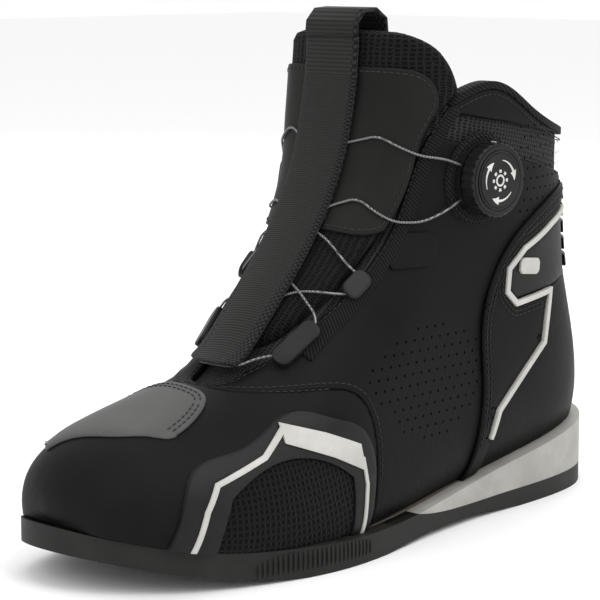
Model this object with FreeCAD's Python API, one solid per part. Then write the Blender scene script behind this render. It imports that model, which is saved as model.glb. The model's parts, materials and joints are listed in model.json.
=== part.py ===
import FreeCAD, Part
import math
import os

# Short motorcycle riding boot, left foot, closed by a dial and a wire lace.
# Millimetres. +X points to the toe, +Y to the outer (lateral) side, +Z up.
# The pattern is drafted at the nominal size and graded to the driving sizes.

Vec = FreeCAD.Vector

# ---- driving dimensions -------------------------------------------------
SOLE_LENGTH = 299.0
BALL_WIDTH = 106.0
BOOT_HEIGHT = 210.0
DRAFT_LENGTH = 299.0
DRAFT_WIDTH = 106.0
DRAFT_HEIGHT = 210.0

UPPER_THICKNESS = 2.0
FOAM_THICKNESS = 2.8
STIFFENER_THICKNESS = 1.6
LINER_THICKNESS = 1.2
FOOTBED_THICKNESS = 4.5
BOARD_THICKNESS = 2.2
SHANK_THICKNESS = 1.2
SHANK_WIDTH = 20.0
SOLE_WALL = 9.0
TREAD_THICKNESS = 6.0
TREAD_GROOVE_DEPTH = 2.0
TREAD_GROOVE_WIDTH = 3.0
TREAD_GROOVE_PITCH = 12.0
HEEL_GROOVE_LENGTH = 54.0
BALL_GROOVE_LENGTH = 80.0

GLUE_GAP = 0.05
CUT_TOLERANCE = 0.001
STITCH_GAP = 0.7
OVERLAY_THICKNESS = 1.2
PLATE_THICKNESS = 1.9
STRIPE_THICKNESS = 2.6
STRIPE_WIDTH = 2.4
SIDE_STRIPE_WIDTH = 1.8
MESH_THICKNESS = 0.7
BINDING_WIDTH = 4.5
COLLAR_RIM = 3.2
FLEX_RIB_COUNT = 5
FLEX_RIB_HEIGHT = 5.0
FLEX_RIB_PITCH = 7.4
FLEX_RIB_LOW = 102.5
FLEX_RIB_FRONT = -107

TONGUE_THICKNESS = 7.5
TONGUE_GAP_TOP = 0.9
TONGUE_GAP_LOW = 4.5
TONGUE_CLEARANCE = 0.6
GUSSET_THICKNESS = 0.8
STRAP_WIDTH = 29.0
STRAP_THICKNESS = 1.5
STRAP_CENTRE_Y = -3.0
STRAP_END = 206.0

LACE_DIAMETER = 1.0
LACE_PLAY = 0.2
STRAP_LIFT = 2.7

DIAL_DIAMETER = 31.0
DIAL_BASE_DIAMETER = 27.5
DIAL_BASE_RIM = 3.4
DIAL_WALL = 2.6
DIAL_BASE_TOP = 7.0
DIAL_KNOB_LOW = 4.4
DIAL_KNOB_TOP = 11.0
DIAL_TOP_WALL = 1.5
DIAL_PLAY = 0.5
DIAL_FLANGE_DIAMETER = 39.0
SPOOL_FLANGE_DIAMETER = 16.4
SPOOL_DRUM_DIAMETER = 10.0
SPOOL_FLOOR = 2.2
SPOOL_TOP = 6.0
SPOOL_FLANGE = 0.8
POST_DIAMETER = 4.0
POST_CLEARANCE = 0.05
RATCHET_TEETH = 24
TOOTH_RADIUS = 0.45
SCREW_DIAMETER = 1.9
SCREW_HEAD_DIAMETER = 6.4
KNOB_GRIPS = 28
GRIP_RADIUS = 0.8
CAP_DIAMETER = 22.6
CAP_THICKNESS = 0.8

GRADE_X = SOLE_LENGTH / DRAFT_LENGTH
GRADE_Y = BALL_WIDTH / DRAFT_WIDTH
GRADE_Z = BOOT_HEIGHT / DRAFT_HEIGHT
FAR = 400.0

UPPER_IN = -UPPER_THICKNESS
FOAM_OUT = UPPER_IN - GLUE_GAP
FOAM_IN = FOAM_OUT - FOAM_THICKNESS
LINER_OUT = FOAM_IN - GLUE_GAP
LINER_IN = LINER_OUT - LINER_THICKNESS

# ---- the pattern, as drafted ---------------------------------------------
# Last sections from toe tip to collar. Each one lies in a plane across the
# foot: top/front point (x, z), bottom/back point (x, z), half width outside,
# half width inside, centre y, where the widest place is, roundness up, down.
LAST_SECTIONS = [
    (150.4, 35, 150.4, 27, 6, 6, -9, .50, 2.0, 2.0),
    (149.0, 39, 149.0, 23, 13, 13, -9, .50, 2.0, 2.0),
    (144.5, 47, 146.0, 15, 26, 25, -9, .45, 2.1, 2.4),
    (135.0, 55, 137.0, 9, 37, 35, -8, .40, 2.2, 2.6),
    (117.0, 62, 119.0, 3, 45, 42, -6, .36, 2.2, 2.8),
    (94.0, 69, 92.0, -1, 50, 47, -3, .32, 2.1, 2.8),
    (71.0, 77, 58.0, -3, 51, 47, -1, .29, 2.2, 2.8),
    (54.0, 92, 20.0, 0, 48, 45, 0, .30, 2.4, 2.8),
    (39.0, 108, -25.0, 5, 45, 45, 0, .34, 2.7, 2.6),
    (26.0, 124, -78.0, 8, 43, 45, 0, .40, 2.9, 2.5),
    (15.0, 142, -133.0, 17, 42, 46, 0, .48, 3.1, 2.4),
    (8.0, 158, -141.0, 50, 43, 47, 0, .52, 3.2, 2.3),
    (4.0, 172, -129.0, 90, 44, 48, 0, .53, 3.3, 2.3),
    (1.0, 188, -124.0, 130, 44, 48, 0, .54, 3.4, 2.3),
    (-1.0, 209, -125.0, 180, 44, 48, 0, .54, 3.4, 2.3),
    (-2.0, 228, -127.0, 199, 44, 48, 0, .54, 3.4, 2.3),
]
POINTS_PER_QUARTER = 5
SMALLEST_HALF_WIDTH = 4.0
TOE_TAPER_FROM = 90.0
TOE_TAPER_LENGTH = 60.0

SOLE_OUTLINE = [
    (153, -11), (143.5, 16), (120, 37), (90, 48), (55, 54), (22, 51), (-15, 45),
    (-60, 41), (-105, 38), (-133, 27), (-146, 0), (-133, -27), (-105, -37),
    (-60, -35), (-15, -35), (25, -42), (60, -51), (90, -52), (121, -48), (145, -35.5),
]
SOLE_BOTTOM = [
    (-165, 8), (-148, 3), (-135, 0.7), (-122, 0), (-72, 0), (-42, 2.5), (-5, 2.5),
    (28, 0), (74, 0), (100, 3), (125, 8), (165, 18),
]
FEATHER = [
    (-165, 36), (-140, 32), (-115, 28), (-60, 20), (-30, 15.5), (0, 12),
    (35, 11), (70, 12), (110, 15), (140, 21), (165, 29),
]
WEDGE_LOW = [(12, 14), (-8, 9.6), (-30, 8), (-60, 8), (-120, 8.6), (-165, 10)]

THROAT = [
    (85, 71), (77, 71.5), (65, 77), (54, 84), (41, 94), (28, 103), (15, 114),
    (2, 129), (-4, 143), (-8, 155), (-12, 164.5), (-17, 172.5), (-22, 178),
]
COLLAR = [
    (-22, 178), (-34, 182.3), (-46, 184), (-58, 180.5), (-72, 172.5),
    (-90, 165), (-110, 160.5), (-165, 158),
]
VAMP_SEAM = [(85, 71), (71, 69.5), (50, 69.5), (36, 66), (29, 54), (28, 38), (30, 20), (31, -15)]
HEEL_SEAM = [(-44, -15), (-47, 20), (-50, 38), (-56, 49), (-84, 72), (-88, 95)]
FLEX_LOW = [(-88, 95), (-104, 99), (-165, 101)]
FLEX_FRONT = [(-104, 99), (-105, 120), (-104, 138)]
FLEX_HIGH = [(-104, 138), (-125, 141), (-165, 141)]

SHIFT_PAD = [
    (139, -24), (134, -12), (128, 5), (122, 13), (116, 20), (108, 20.5), (97, 17.5),
    (91, 13), (89, 2), (88, -10), (89, -24), (94, -33), (108, -39), (124, -37), (134, -32),
]
SIDE_FRAME = [
    (134, 0), (131, 17), (126, 31), (118, 46), (96, 52), (80, 58), (66, 63),
    (52, 59), (38, 53), (33, 45), (32, 34), (36, 0),
]
SIDE_WINDOW = [(117, 0), (113, 18), (106, 36), (72, 46.5), (46, 35), (46, 20), (50, 0)]
SIDE_STRIPE_FRONT = [(127, 0), (123.5, 15), (117, 32), (111, 41.5), (88, 48.8), (79, 55), (74, 58.5)]
SIDE_STRIPE_BAND = [(75.5, 60), (58, 54.5), (40.5, 47.5), (39, 36.5), (56, 44.5), (77, 52.5)]
SIDE_STRIPE_REAR = [(39.8, 42), (38.2, 31), (40.5, 13), (42, 0)]

PLATE_FRONT = [
    (-114, 139), (-96, 137), (-74, 129), (-57, 117), (-48, 103), (-42, 82),
    (-42.5, 58), (-39.5, 35), (-36, 12), (-35, -5),
]
ANKLE_STRIPE = [
    (-107, 129), (-88, 123.5), (-67, 115), (-57.5, 107), (-57, 97), (-63.5, 91.3),
    (-87.5, 94.6), (-84.5, 71.8), (-53, 46), (-48.4, 34),
]
PLATE_TAIL = [(-46.5, 14), (-46, -5)]
ANKLE_INSET = [
    (-105, 127), (-88, 121), (-68, 112.8), (-60, 106),
    (-59.4, 98.4), (-64.3, 94), (-90, 97), (-103, 100),
]
PULL_LOOP = [(-124.5, 148), (-128.5, 148), (-131, 156), (-130, 164), (-127, 167), (-124.5, 165)]
PULL_LOOP_HOLE = [(-125.7, 151), (-128.1, 151), (-129.3, 156), (-128.5, 163), (-126.5, 165)]
PULL_LOOP_WIDTH = 16.0
SHIFT_PAD_LOW = 30
BADGE_CENTRE = (-71, 107)
BADGE_SIZE = (13.0, 7.0)
BADGE_TILT = 6.0
ANKLE_CUP_CENTRE = (-56, 104)
ANKLE_CUP_DIAMETER = 42.0

FACING = [
    (19, 127), (1, 134), (-4, 146), (-7, 160), (-11, 170),
    (-15, 180), (-11, 190), (2, 194), (30, 190), (40, 150),
]
LACE_TAB = [(3, 126.5), (-11, 126.5), (-16, 123), (-14.5, 115), (-11, 112.5), (7, 112.5), (9, 116)]
TONGUE_TOP = [(-27, 184), (-24, 192), (-19, 199), (-11, 205), (-2, 208.5), (12, 211)]
DIAL_CENTRE = (-38, 147)

# Lace route: how each point is found on the last, its place, its height.
# "side" gives (x, z) and the sign of y, "top" gives (x, y).
LACE_ROUTE = [
    ("side", -27.5, 152.5, 1, 2.9), ("side", -18, 156.5, 1, 2.6), ("side", -8, 158, 1, 2.4),
    ("side", -1, 162, 1, 2.3), ("top", 5.0, 24, 1, 2.6), ("top", 6.6, 11, 1, 2.1),
    ("top", 7.2, 0, 1, 2.0), ("top", 6.7, -13, 1, 2.1), ("top", 4.6, -24, 1, 2.5),
    ("side", 0.5, 161.5, -1, 2.4), ("side", -9.5, 156, -1, 2.5), ("side", -12, 150, -1, 2.2),
    ("side", -9.5, 142, -1, 2.2), ("side", -5, 135.5, -1, 2.2), ("side", 4, 131.5, -1, 2.2),
    ("side", 11.5, 133.5, -1, 2.4), ("top", 16.5, -21, 1, 2.6), ("top", 20.5, -11, 1, 2.1),
    ("top", 23.5, 0, 1, 2.0), ("top", 24.5, 13, 1, 2.1), ("side", 24, 114, 1, 2.0),
    ("side", 21, 109.5, 1, 2.2), ("side", 25, 104, 1, 2.2), ("side", 31, 103.5, 1, 1.8),
    ("side", 37, 104.5, 1, 1.4), ("top", 41.5, 14, 1, 1.0), ("top", 44.8, 7, 1, 1.0),
    ("top", 46.5, -1, 1, 0.9), ("top", 46.5, -9, 1, 1.0), ("top", 45, -17, 1, 1.3),
    ("side", 41, 96, -1, 1.8), ("side", 42, 92, -1, 2.1), ("side", 48, 87.5, -1, 2.1),
    ("side", 56, 82.5, -1, 2.1), ("side", 63, 80, -1, 1.8), ("top", 71, -12, 1, 1.7),
    ("top", 73, 0, 1, 1.9), ("top", 71, 10, 1, 2.0), ("side", 64, 79.5, 1, 2.2),
    ("side", 58, 81.5, 1, 2.2), ("side", 50, 87, 1, 2.2), ("side", 43.5, 92.5, 1, 2.2),
    ("side", 42, 96.5, 1, 2.2), ("top", 40.5, 13, 1, 2.15), ("top", 37.3, 1, 1, 2.1),
    ("top", 33.5, -9, 1, 2.1), ("top", 29, -18, 1, 2.4), ("side", 27, 107, -1, 2.1),
    ("side", 22, 107.5, -1, 2.1), ("side", 17, 111.5, -1, 2.1), ("side", 16.5, 117, -1, 1.7),
    ("side", 20.5, 123, -1, 1.4), ("top", 23.2, -15, 1, 0.9), ("top", 23, -8, 1, 0.8),
    ("top", 21.3, 1, 1, 1.1), ("top", 18, 10, 1, 2.1), ("top", 14.5, 21, 1, 2.7),
    ("side", 9, 135, 1, 2.4), ("side", 3, 131, 1, 2.2), ("side", -8, 130.5, 1, 2.3),
    ("side", -18, 134.5, 1, 2.6), ("side", -27.5, 140.5, 1, 2.9),
]
GUIDES = [
    ("lace_guide_middle_lateral", (30, 102.5), (18, 111.5), 1, 13.0),
    ("lace_guide_lower_lateral", (62, 78.5), (43, 92.5), 1, 23.0),
    ("lace_guide_upper_medial", (-5.5, 134.5), (-12, 151), -1, 17.0),
    ("lace_guide_middle_medial", (27, 104), (15, 113), -1, 13.0),
    ("lace_guide_lower_medial", (60, 79.5), (42, 92.5), -1, 21.0),
]
GUIDE_WIDTH = 8.5
GUIDE_HEIGHT = 3.6


# ---- drafting helpers -----------------------------------------------------
def at(x, z, y=0.0):
    """Grade a drafted side-view point to the driving sizes."""
    return Vec(x * GRADE_X, y, z * GRADE_Z)


def spline(points):
    """A smooth open edge through the points."""
    curve = Part.BSplineCurve()
    curve.interpolate(points)
    return curve.toShape()


def edge_through(points):
    """One edge through the points: straight for two, smooth for more."""
    if len(points) == 2:
        return Part.LineSegment(points[0], points[1]).toShape()
    return spline(points)


def region(lines, side=0):
    """Solid across the boot whose side view is bounded by the lines in turn."""
    y_low = -FAR if side <= 0 else 0.0
    y_high = FAR if side >= 0 else 0.0
    edges = []
    for i, line in enumerate(lines):
        points = [at(x, z, y_low) for x, z in line]
        if len(points) > 1:
            edges.append(edge_through(points))
        following = lines[(i + 1) % len(lines)][0]
        start = at(following[0], following[1], y_low)
        if (points[-1] - start).Length > 1e-6:
            edges.append(Part.LineSegment(points[-1], start).toShape())
    face = Part.Face(Part.Wire(edges))
    return face.extrude(Vec(0, y_high - y_low, 0))


def straight_region(points, side=0):
    """The same with straight sides only."""
    return region([[point] for point in points], side)


def turned(line):
    return list(reversed(line))


def moved(line, dx, dz):
    return [(x + dx, z + dz) for x, z in line]


def beside(line, distance):
    """The line moved sideways by distance, to the left of its direction."""
    shifted = []
    for i, (x, z) in enumerate(line):
        before = line[max(i - 1, 0)]
        after = line[min(i + 1, len(line) - 1)]
        dx = after[0] - before[0]
        dz = after[1] - before[1]
        length = math.hypot(dx, dz)
        shifted.append((x - dz / length * distance, z + dx / length * distance))
    return shifted


def mitred(line, distance):
    """The line moved sideways with its straight runs kept parallel."""
    shifted = []
    for i, (x, z) in enumerate(line):
        directions = []
        for a, b in ((i - 1, i), (i, i + 1)):
            if a >= 0 and b < len(line):
                dx = line[b][0] - line[a][0]
                dz = line[b][1] - line[a][1]
                length = math.hypot(dx, dz)
                directions.append((-dz / length, dx / length))
        nx = sum(d[0] for d in directions)
        nz = sum(d[1] for d in directions)
        scale = distance * len(directions) / (nx * nx + nz * nz)
        shifted.append((x + nx * scale, z + nz * scale))
    return shifted


def band(line, width, side=0):
    """A strip of even width along a line of straight runs."""
    return straight_region(mitred(line, width / 2) + turned(mitred(line, -width / 2)), side)


# ---- the last and the layers on it -----------------------------------------
def section_points(row, grow):
    """Points around one section, from the bottom round the outer side."""
    xt, zt, xb, zb, outside, inside, middle, peak, round_up, round_down = row
    taper = max(0.0, (xt - TOE_TAPER_FROM) / TOE_TAPER_LENGTH) * grow
    top = at(xt, zt) + Vec(taper, 0, 0)
    bottom = at(xb, zb) + Vec(taper, 0, 0)
    along = (top - bottom).normalize()
    top = top + along * grow
    bottom = bottom - along * grow
    height = (top - bottom).Length
    points = []
    for side, half in ((1, outside * GRADE_Y + grow), (-1, inside * GRADE_Y + grow)):
        arc = []
        for i in range(POINTS_PER_QUARTER + 1):
            angle = i / POINTS_PER_QUARTER * math.pi / 2
            s = peak - peak * math.cos(angle) ** (2 / round_down)
            arc.append((s, side * half * math.sin(angle) ** (2 / round_down)))
        for i in range(1, POINTS_PER_QUARTER + 1):
            angle = i / POINTS_PER_QUARTER * math.pi / 2
            s = peak + (1 - peak) * math.sin(angle) ** (2 / round_up)
            arc.append((s, side * half * max(math.cos(angle), 0.0) ** (2 / round_up)))
        points.extend(arc if side > 0 else reversed(arc[1:-1]))
    corners = []
    for s, y in points:
        corner = bottom + along * (s * height)
        corners.append(Vec(corner.x, middle * GRADE_Y + y, corner.z))
    return corners


def through(points, parameters, closed=False):
    """Poles, multiplicities and knots of a smooth curve through the points."""
    curve = Part.BSplineCurve()
    curve.interpolate(Points=points, Parameters=parameters, PeriodicFlag=closed)
    return curve.getPoles(), curve.getMultiplicities(), curve.getKnots(), curve.Degree


def smooth_body(sections):
    """Solid whose skin passes through closed sections, with flat ends."""
    around = [float(i) for i in range(len(sections[0]) + 1)]
    rings = [through(section, around, True) for section in sections]
    lengthwise = [0.0]
    for (one, _, _, _), (two, _, _, _) in zip(rings, rings[1:]):
        steps = [(b - a).Length for a, b in zip(one, two)]
        lengthwise.append(lengthwise[-1] + math.sqrt(sum(steps) / len(steps)))
    lines = [through([ring[0][j] for ring in rings], lengthwise) for j in range(len(rings[0][0]))]
    poles = [[line[0][i] for line in lines] for i in range(len(lines[0][0]))]
    skin = Part.BSplineSurface()
    skin.buildFromPolesMultsKnots(
        poles, lines[0][1], rings[0][1], lines[0][2], rings[0][2], False, True, lines[0][3], rings[0][3])
    side = skin.toShape()
    ends = [edge for edge in side.Edges if edge.isClosed() and not edge.isSeam(side)]
    caps = [Part.Face(Part.Wire([edge])) for edge in ends]
    shell = Part.makeShell([side] + caps)
    shell.sewShape()
    return Part.makeSolid(shell)


LASTS = {}
RINGS = {}


def last(grow):
    """The last as a solid, thicker or thinner by grow."""
    key = round(grow, 3)
    if key not in LASTS:
        rows = [r for r in LAST_SECTIONS if min(r[4], r[5]) * GRADE_Y + grow > SMALLEST_HALF_WIDTH]
        LASTS[key] = smooth_body([section_points(row, grow) for row in rows])
    return LASTS[key]


def above_feather():
    return region([FEATHER, [(165, 300)], [(-165, 300)]])


def ring(inner, outer):
    """The layer between two thicknesses, above the sole."""
    key = (round(inner, 3), round(outer, 3))
    if key not in RINGS:
        RINGS[key] = last(outer).cut(last(inner)).common(above_feather())
    return RINGS[key]


def overlay(thickness):
    return ring(GLUE_GAP, GLUE_GAP + thickness)


def skin_point(kind, a, b, side, height):
    """A point on the last and the outward direction there."""
    skin = last(0.0)
    if kind == "side":
        start = at(a, b, 0.0)
        end = at(a, b, side * FAR)
    else:
        start = Vec(a * GRADE_X, b * GRADE_Y, 60 * GRADE_Z)
        end = Vec(a * GRADE_X, b * GRADE_Y, FAR)
    if kind == "top" and a < 60:
        lean = Vec(1, 0, 1).normalize()
        start = Vec(a * GRADE_X, b * GRADE_Y, front_height(a)) - lean * 40
        end = start + lean * 120
    line = Part.LineSegment(start, end).toShape()
    hits = skin.common(line)
    point = max((v.Point for v in hits.Vertexes), key=lambda p: (p - start).Length)
    face = min(skin.Faces, key=lambda f: f.distToShape(Part.Vertex(point))[0])
    u, v = face.Surface.parameter(point)
    outward = face.normalAt(u, v)
    if outward.dot(end - start) < 0:
        outward = outward * -1
    return point + outward * height, outward


def front_height(x):
    """Height of the front line of the last over a place along it."""
    front = [(row[0], row[1]) for row in LAST_SECTIONS if row[0] <= 100]
    for (x1, z1), (x2, z2) in zip(front, front[1:]):
        if x2 <= x <= x1:
            return (z1 + (z2 - z1) * (x1 - x) / (x1 - x2)) * GRADE_Z
    return front[-1][1] * GRADE_Z


# ---- sole -----------------------------------------------------------------
def sole_loop(inset):
    loop = [Vec(x * GRADE_X, y * GRADE_Y, 0) for x, y in SOLE_OUTLINE]
    count = len(loop)
    moved_in = []
    for i, point in enumerate(loop):
        along = loop[(i + 1) % count] - loop[i - 1]
        inward = Vec(along.y, -along.x, 0).normalize() * -1
        middle = Vec(0, 0, 0) - point
        if inward.dot(middle) < 0 and abs(point.y) > 20:
            inward = inward * -1
        moved_in.append(point + inward * inset)
    curve = Part.BSplineCurve()
    curve.interpolate(Points=moved_in, PeriodicFlag=True)
    face = Part.Face(Part.Wire([curve.toShape()]))
    face.translate(Vec(0, 0, -50))
    return face.extrude(Vec(0, 0, 200))


def make_sole():
    block = sole_loop(0).common(region([FEATHER] + [[p] for p in turned(SOLE_BOTTOM)]))
    core_low = [(x, z + TREAD_THICKNESS / GRADE_Z) for x, z in SOLE_BOTTOM]
    board_low = [(x, z - BOARD_THICKNESS / GRADE_Z) for x, z in FEATHER]
    shank_low = [(x, z - SHANK_THICKNESS / GRADE_Z) for x, z in board_low]
    inner = sole_loop(SOLE_WALL)
    board = sole_loop(SOLE_WALL - 2).common(region([FEATHER, turned(board_low)]))
    core = inner.common(region([board_low] + [[p] for p in turned(core_low)]))
    strip = Part.makeBox(110 * GRADE_X, SHANK_WIDTH, FAR, Vec(-78 * GRADE_X, -SHANK_WIDTH / 2, -50))
    shank = strip.common(region([board_low, turned(shank_low)]))
    wedge_zone = region([WEDGE_LOW, [(-165, 60)], [(12, 60)]])
    rest = block.cut(board).cut(core)
    wedge = rest.common(wedge_zone)
    outsole = rest.cut(wedge_zone)
    grooves = []
    for first, count, length in ((-126, 6, HEEL_GROOVE_LENGTH), (14, 8, BALL_GROOVE_LENGTH)):
        for i in range(count):
            x = first + i * TREAD_GROOVE_PITCH
            top = bottom_height(x) + TREAD_GROOVE_DEPTH
            groove = Part.makeBox(TREAD_GROOVE_WIDTH, length * GRADE_Y, 20)
            groove.translate(Vec(x * GRADE_X, -length * GRADE_Y / 2, top - 20))
            grooves.append(groove)
    outsole = outsole.cut(Part.makeCompound(grooves))
    return {
        "outsole": outsole,
        "midsole": core.cut(shank),
        "heel_wedge": wedge,
        "shank": shank,
        "insole_board": board,
    }


def bottom_height(x):
    for (x1, z1), (x2, z2) in zip(SOLE_BOTTOM, SOLE_BOTTOM[1:]):
        if x1 <= x <= x2:
            return (z1 + (z2 - z1) * (x - x1) / (x2 - x1)) * GRADE_Z
    return 0.0


# ---- upper ----------------------------------------------------------------
def make_upper():
    base = ring(UPPER_IN, 0.0)
    vamp_zone = [turned(VAMP_SEAM), [(165, 71)], [(165, -15)]]
    quarter = [VAMP_SEAM, HEEL_SEAM, FLEX_LOW[:2], FLEX_FRONT, FLEX_HIGH, turned(COLLAR), turned(THROAT)]
    heel_zone = [HEEL_SEAM, FLEX_LOW, [(-165, -15)]]
    flex_zone = [FLEX_FRONT, FLEX_HIGH, turned(FLEX_LOW[1:])]
    pieces = {
        "vamp": base.common(region(vamp_zone)),
        "quarter_lateral": base.common(region(quarter, 1), CUT_TOLERANCE),
        "quarter_medial": base.common(region(quarter, -1), CUT_TOLERANCE),
        "heel_counter_cover": base.common(region(heel_zone)),
        "rear_flex_panel": base.common(region(flex_zone)),
    }
    ribs = []
    for i in range(FLEX_RIB_COUNT):
        low = FLEX_RIB_LOW + i * FLEX_RIB_PITCH
        high = low + FLEX_RIB_HEIGHT
        strip = straight_region([(-165, low), (FLEX_RIB_FRONT, low), (FLEX_RIB_FRONT, high), (-165, high)])
        ribs.append(overlay(PLATE_THICKNESS).common(strip))
    pieces["flex_ribs"] = Part.makeCompound(ribs)
    pieces["rear_flex_panel"] = pieces["rear_flex_panel"].cut(pieces["heel_counter_cover"])
    return pieces


def make_inside():
    below_rim = region([turned(COLLAR), turned(THROAT), [(165, 71)], [(165, -15)], [(-165, -15)]])
    liner = ring(LINER_IN, LINER_OUT).common(below_rim)
    foam_layer = ring(FOAM_IN, FOAM_OUT)
    padded = [turned(COLLAR), turned(THROAT[5:]), [(20, 88)], [(-165, 88)]]
    foam = foam_layer.common(region(padded))
    cup_radius = ANKLE_CUP_DIAMETER / 2
    cups = {}
    for name, side in (("lateral", 1), ("medial", -1)):
        centre = at(*ANKLE_CUP_CENTRE)
        plug = Part.makeCylinder(cup_radius, FAR, centre, Vec(0, side, 0))
        cups["ankle_cup_" + name] = foam_layer.common(plug)
        foam = foam.cut(plug)
    stiff = ring(FOAM_OUT - STIFFENER_THICKNESS, FOAM_OUT)
    heel = stiff.common(straight_region([(-45, -15), (-55, 60), (-80, 85), (-165, 85), (-165, -15)]))
    toe = stiff.common(straight_region([(96, -15), (104, 120), (165, 120), (165, -15)]))
    footbed_high = moved(FEATHER, 0, FOOTBED_THICKNESS / GRADE_Z)
    footbed_low = moved(FEATHER, 0, GLUE_GAP)
    footbed = last(LINER_IN - 0.2).common(region([footbed_high, turned(footbed_low)]))
    pieces = {"liner": liner, "collar_foam": foam, "footbed": footbed}
    pieces.update({"heel_stiffener": heel, "toe_puff": toe})
    pieces.update(cups)
    return pieces


def make_trim():
    pieces = {}
    rim_layer = ring(LINER_IN, 0.6)
    rim = region([COLLAR, turned(moved(COLLAR, 0, COLLAR_RIM))])
    pieces["collar_binding"] = rim_layer.common(rim).cut(tongue_zone(-TONGUE_CLEARANCE))
    for name, side in (("lateral", 1), ("medial", -1)):
        edge = THROAT[3:]
        strip = region([edge, turned(beside(edge, BINDING_WIDTH))], side)
        pieces["throat_binding_" + name] = overlay(OVERLAY_THICKNESS).common(strip)
    loop = straight_region(PULL_LOOP).cut(straight_region(PULL_LOOP_HOLE))
    slab = Part.makeBox(FAR, PULL_LOOP_WIDTH, FAR, Vec(-FAR, -PULL_LOOP_WIDTH / 2, 0))
    pieces["heel_pull_loop"] = loop.common(slab).cut(last(STITCH_GAP))
    curve = Part.BSplineCurve()
    pad_points = [Vec(x * GRADE_X, y * GRADE_Y, SHIFT_PAD_LOW * GRADE_Z) for x, y in SHIFT_PAD]
    curve.interpolate(Points=pad_points, PeriodicFlag=True)
    pad = Part.Face(Part.Wire([curve.toShape()])).extrude(Vec(0, 0, FAR))
    pieces["shift_pad"] = overlay(OVERLAY_THICKNESS).common(pad)
    return pieces


def make_side_armour():
    pieces = {}
    for name, side in (("lateral", 1), ("medial", -1)):
        front = band(SIDE_STRIPE_FRONT, SIDE_STRIPE_WIDTH, side)
        rear = band(SIDE_STRIPE_REAR, SIDE_STRIPE_WIDTH, side)
        wide = straight_region(SIDE_STRIPE_BAND, side)
        stripe_zone = front.fuse(rear).fuse(wide)
        window = region([SIDE_WINDOW[:3], SIDE_WINDOW[2:5], SIDE_WINDOW[4:]], side)
        frame_zone = region([SIDE_FRAME], side).cut(window).cut(stripe_zone)
        pieces["side_panel_" + name] = overlay(PLATE_THICKNESS).common(frame_zone)
        pieces["side_stripe_" + name] = overlay(STRIPE_THICKNESS).common(stripe_zone)
        pieces["side_mesh_" + name] = overlay(MESH_THICKNESS).common(window.cut(stripe_zone))
        plate_back = turned(PLATE_TAIL) + turned(ANKLE_STRIPE)
        plate = region([PLATE_FRONT] + [[p] for p in plate_back], side)
        stripe = band(ANKLE_STRIPE, STRIPE_WIDTH, side)
        inset = straight_region(ANKLE_INSET, side).cut(stripe)
        pieces["ankle_plate_" + name] = overlay(PLATE_THICKNESS).common(plate.cut(stripe).cut(inset))
        pieces["ankle_stripe_" + name] = overlay(STRIPE_THICKNESS).common(stripe)
        pieces["ankle_inset_" + name] = overlay(OVERLAY_THICKNESS).common(inset)
    centre = at(*BADGE_CENTRE)
    length, height = BADGE_SIZE
    badge = Part.makeBox(length, FAR, height, Vec(-length / 2, 0, -height / 2))
    upright = [e for e in badge.Edges if abs(e.tangentAt(e.FirstParameter).y) > 0.9]
    badge = badge.makeFillet(height * 0.35, upright)
    badge.rotate(Vec(0, 0, 0), Vec(0, 1, 0), -BADGE_TILT)
    badge.translate(centre)
    badge_low = 2 * GLUE_GAP + OVERLAY_THICKNESS
    pieces["ankle_badge"] = ring(badge_low, badge_low + OVERLAY_THICKNESS).common(badge)
    pieces["lace_tab"] = overlay(OVERLAY_THICKNESS).common(straight_region(LACE_TAB, 1))
    return pieces


# ---- tongue ---------------------------------------------------------------
def tongue_edge(extra=0.0):
    """The tongue's side: the throat line moved forward by the gap there."""
    edge = []
    for (x, z), (x2, z2) in zip(THROAT, beside(THROAT, -1.0)):
        share = min(1.0, max(0.0, (z - 118) / 24))
        share = share * share * (3 - 2 * share)
        gap = TONGUE_GAP_LOW + (TONGUE_GAP_TOP - TONGUE_GAP_LOW) * share + extra
        edge.append((x + (x2 - x) * gap, z + (z2 - z) * gap))
    return edge


def tongue_zone(extra=0.0):
    edge = tongue_edge(extra)
    return region([edge, TONGUE_TOP, [(120, 211)], [(120, edge[0][1])]])


def make_tongue():
    pad = ring(-TONGUE_THICKNESS, -0.1).common(tongue_zone())
    pieces = {"tongue_pad": pad}
    half = STRAP_WIDTH / 2
    for name, side in (("lateral", 1), ("medial", -1)):
        zone = region([FACING + FACING[:1]], side)
        inner = STRAP_CENTRE_Y + side * (half - 3)
        low = inner if side > 0 else -FAR
        keep = Part.makeBox(2 * FAR, FAR if side > 0 else FAR + inner, 2 * FAR, Vec(-FAR, low, -FAR))
        facing = overlay(OVERLAY_THICKNESS).common(zone).common(tongue_zone(0.8)).common(keep)
        pieces["tongue_facing_" + name] = facing
    slab = Part.makeBox(2 * FAR, STRAP_WIDTH, 2 * FAR, Vec(-FAR, STRAP_CENTRE_Y - half, -FAR))
    strap_view = straight_region([(74, 79), (120, 84), (120, STRAP_END), (-30, STRAP_END), (-30, 79)])
    strap = ring(STRAP_LIFT, STRAP_LIFT + STRAP_THICKNESS).common(slab).common(strap_view)
    x = STRAP_LIFT + STRAP_THICKNESS / 2 - 0.6
    fold = [(x, STRAP_END), (x - 0.6, 212), (x - 5, 216.5), (x - 12, 217), (x - 18, 213), (x - 19, 204)]
    fold = band(fold, STRAP_THICKNESS).common(slab)
    pieces["tongue_strap"] = strap
    pieces["tongue_strap_fold"] = fold
    return pieces


def make_gussets():
    pieces = {}
    layer = ring(-TONGUE_THICKNESS - 0.3 - GUSSET_THICKNESS, -TONGUE_THICKNESS - 0.3)
    near = beside(THROAT, 7.0)
    far = beside(THROAT, -9.0)
    for name, side in (("lateral", 1), ("medial", -1)):
        strip = region([near[2:], turned(far[2:])], side)
        pieces["tongue_gusset_" + name] = layer.common(strip)
    return pieces


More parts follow.
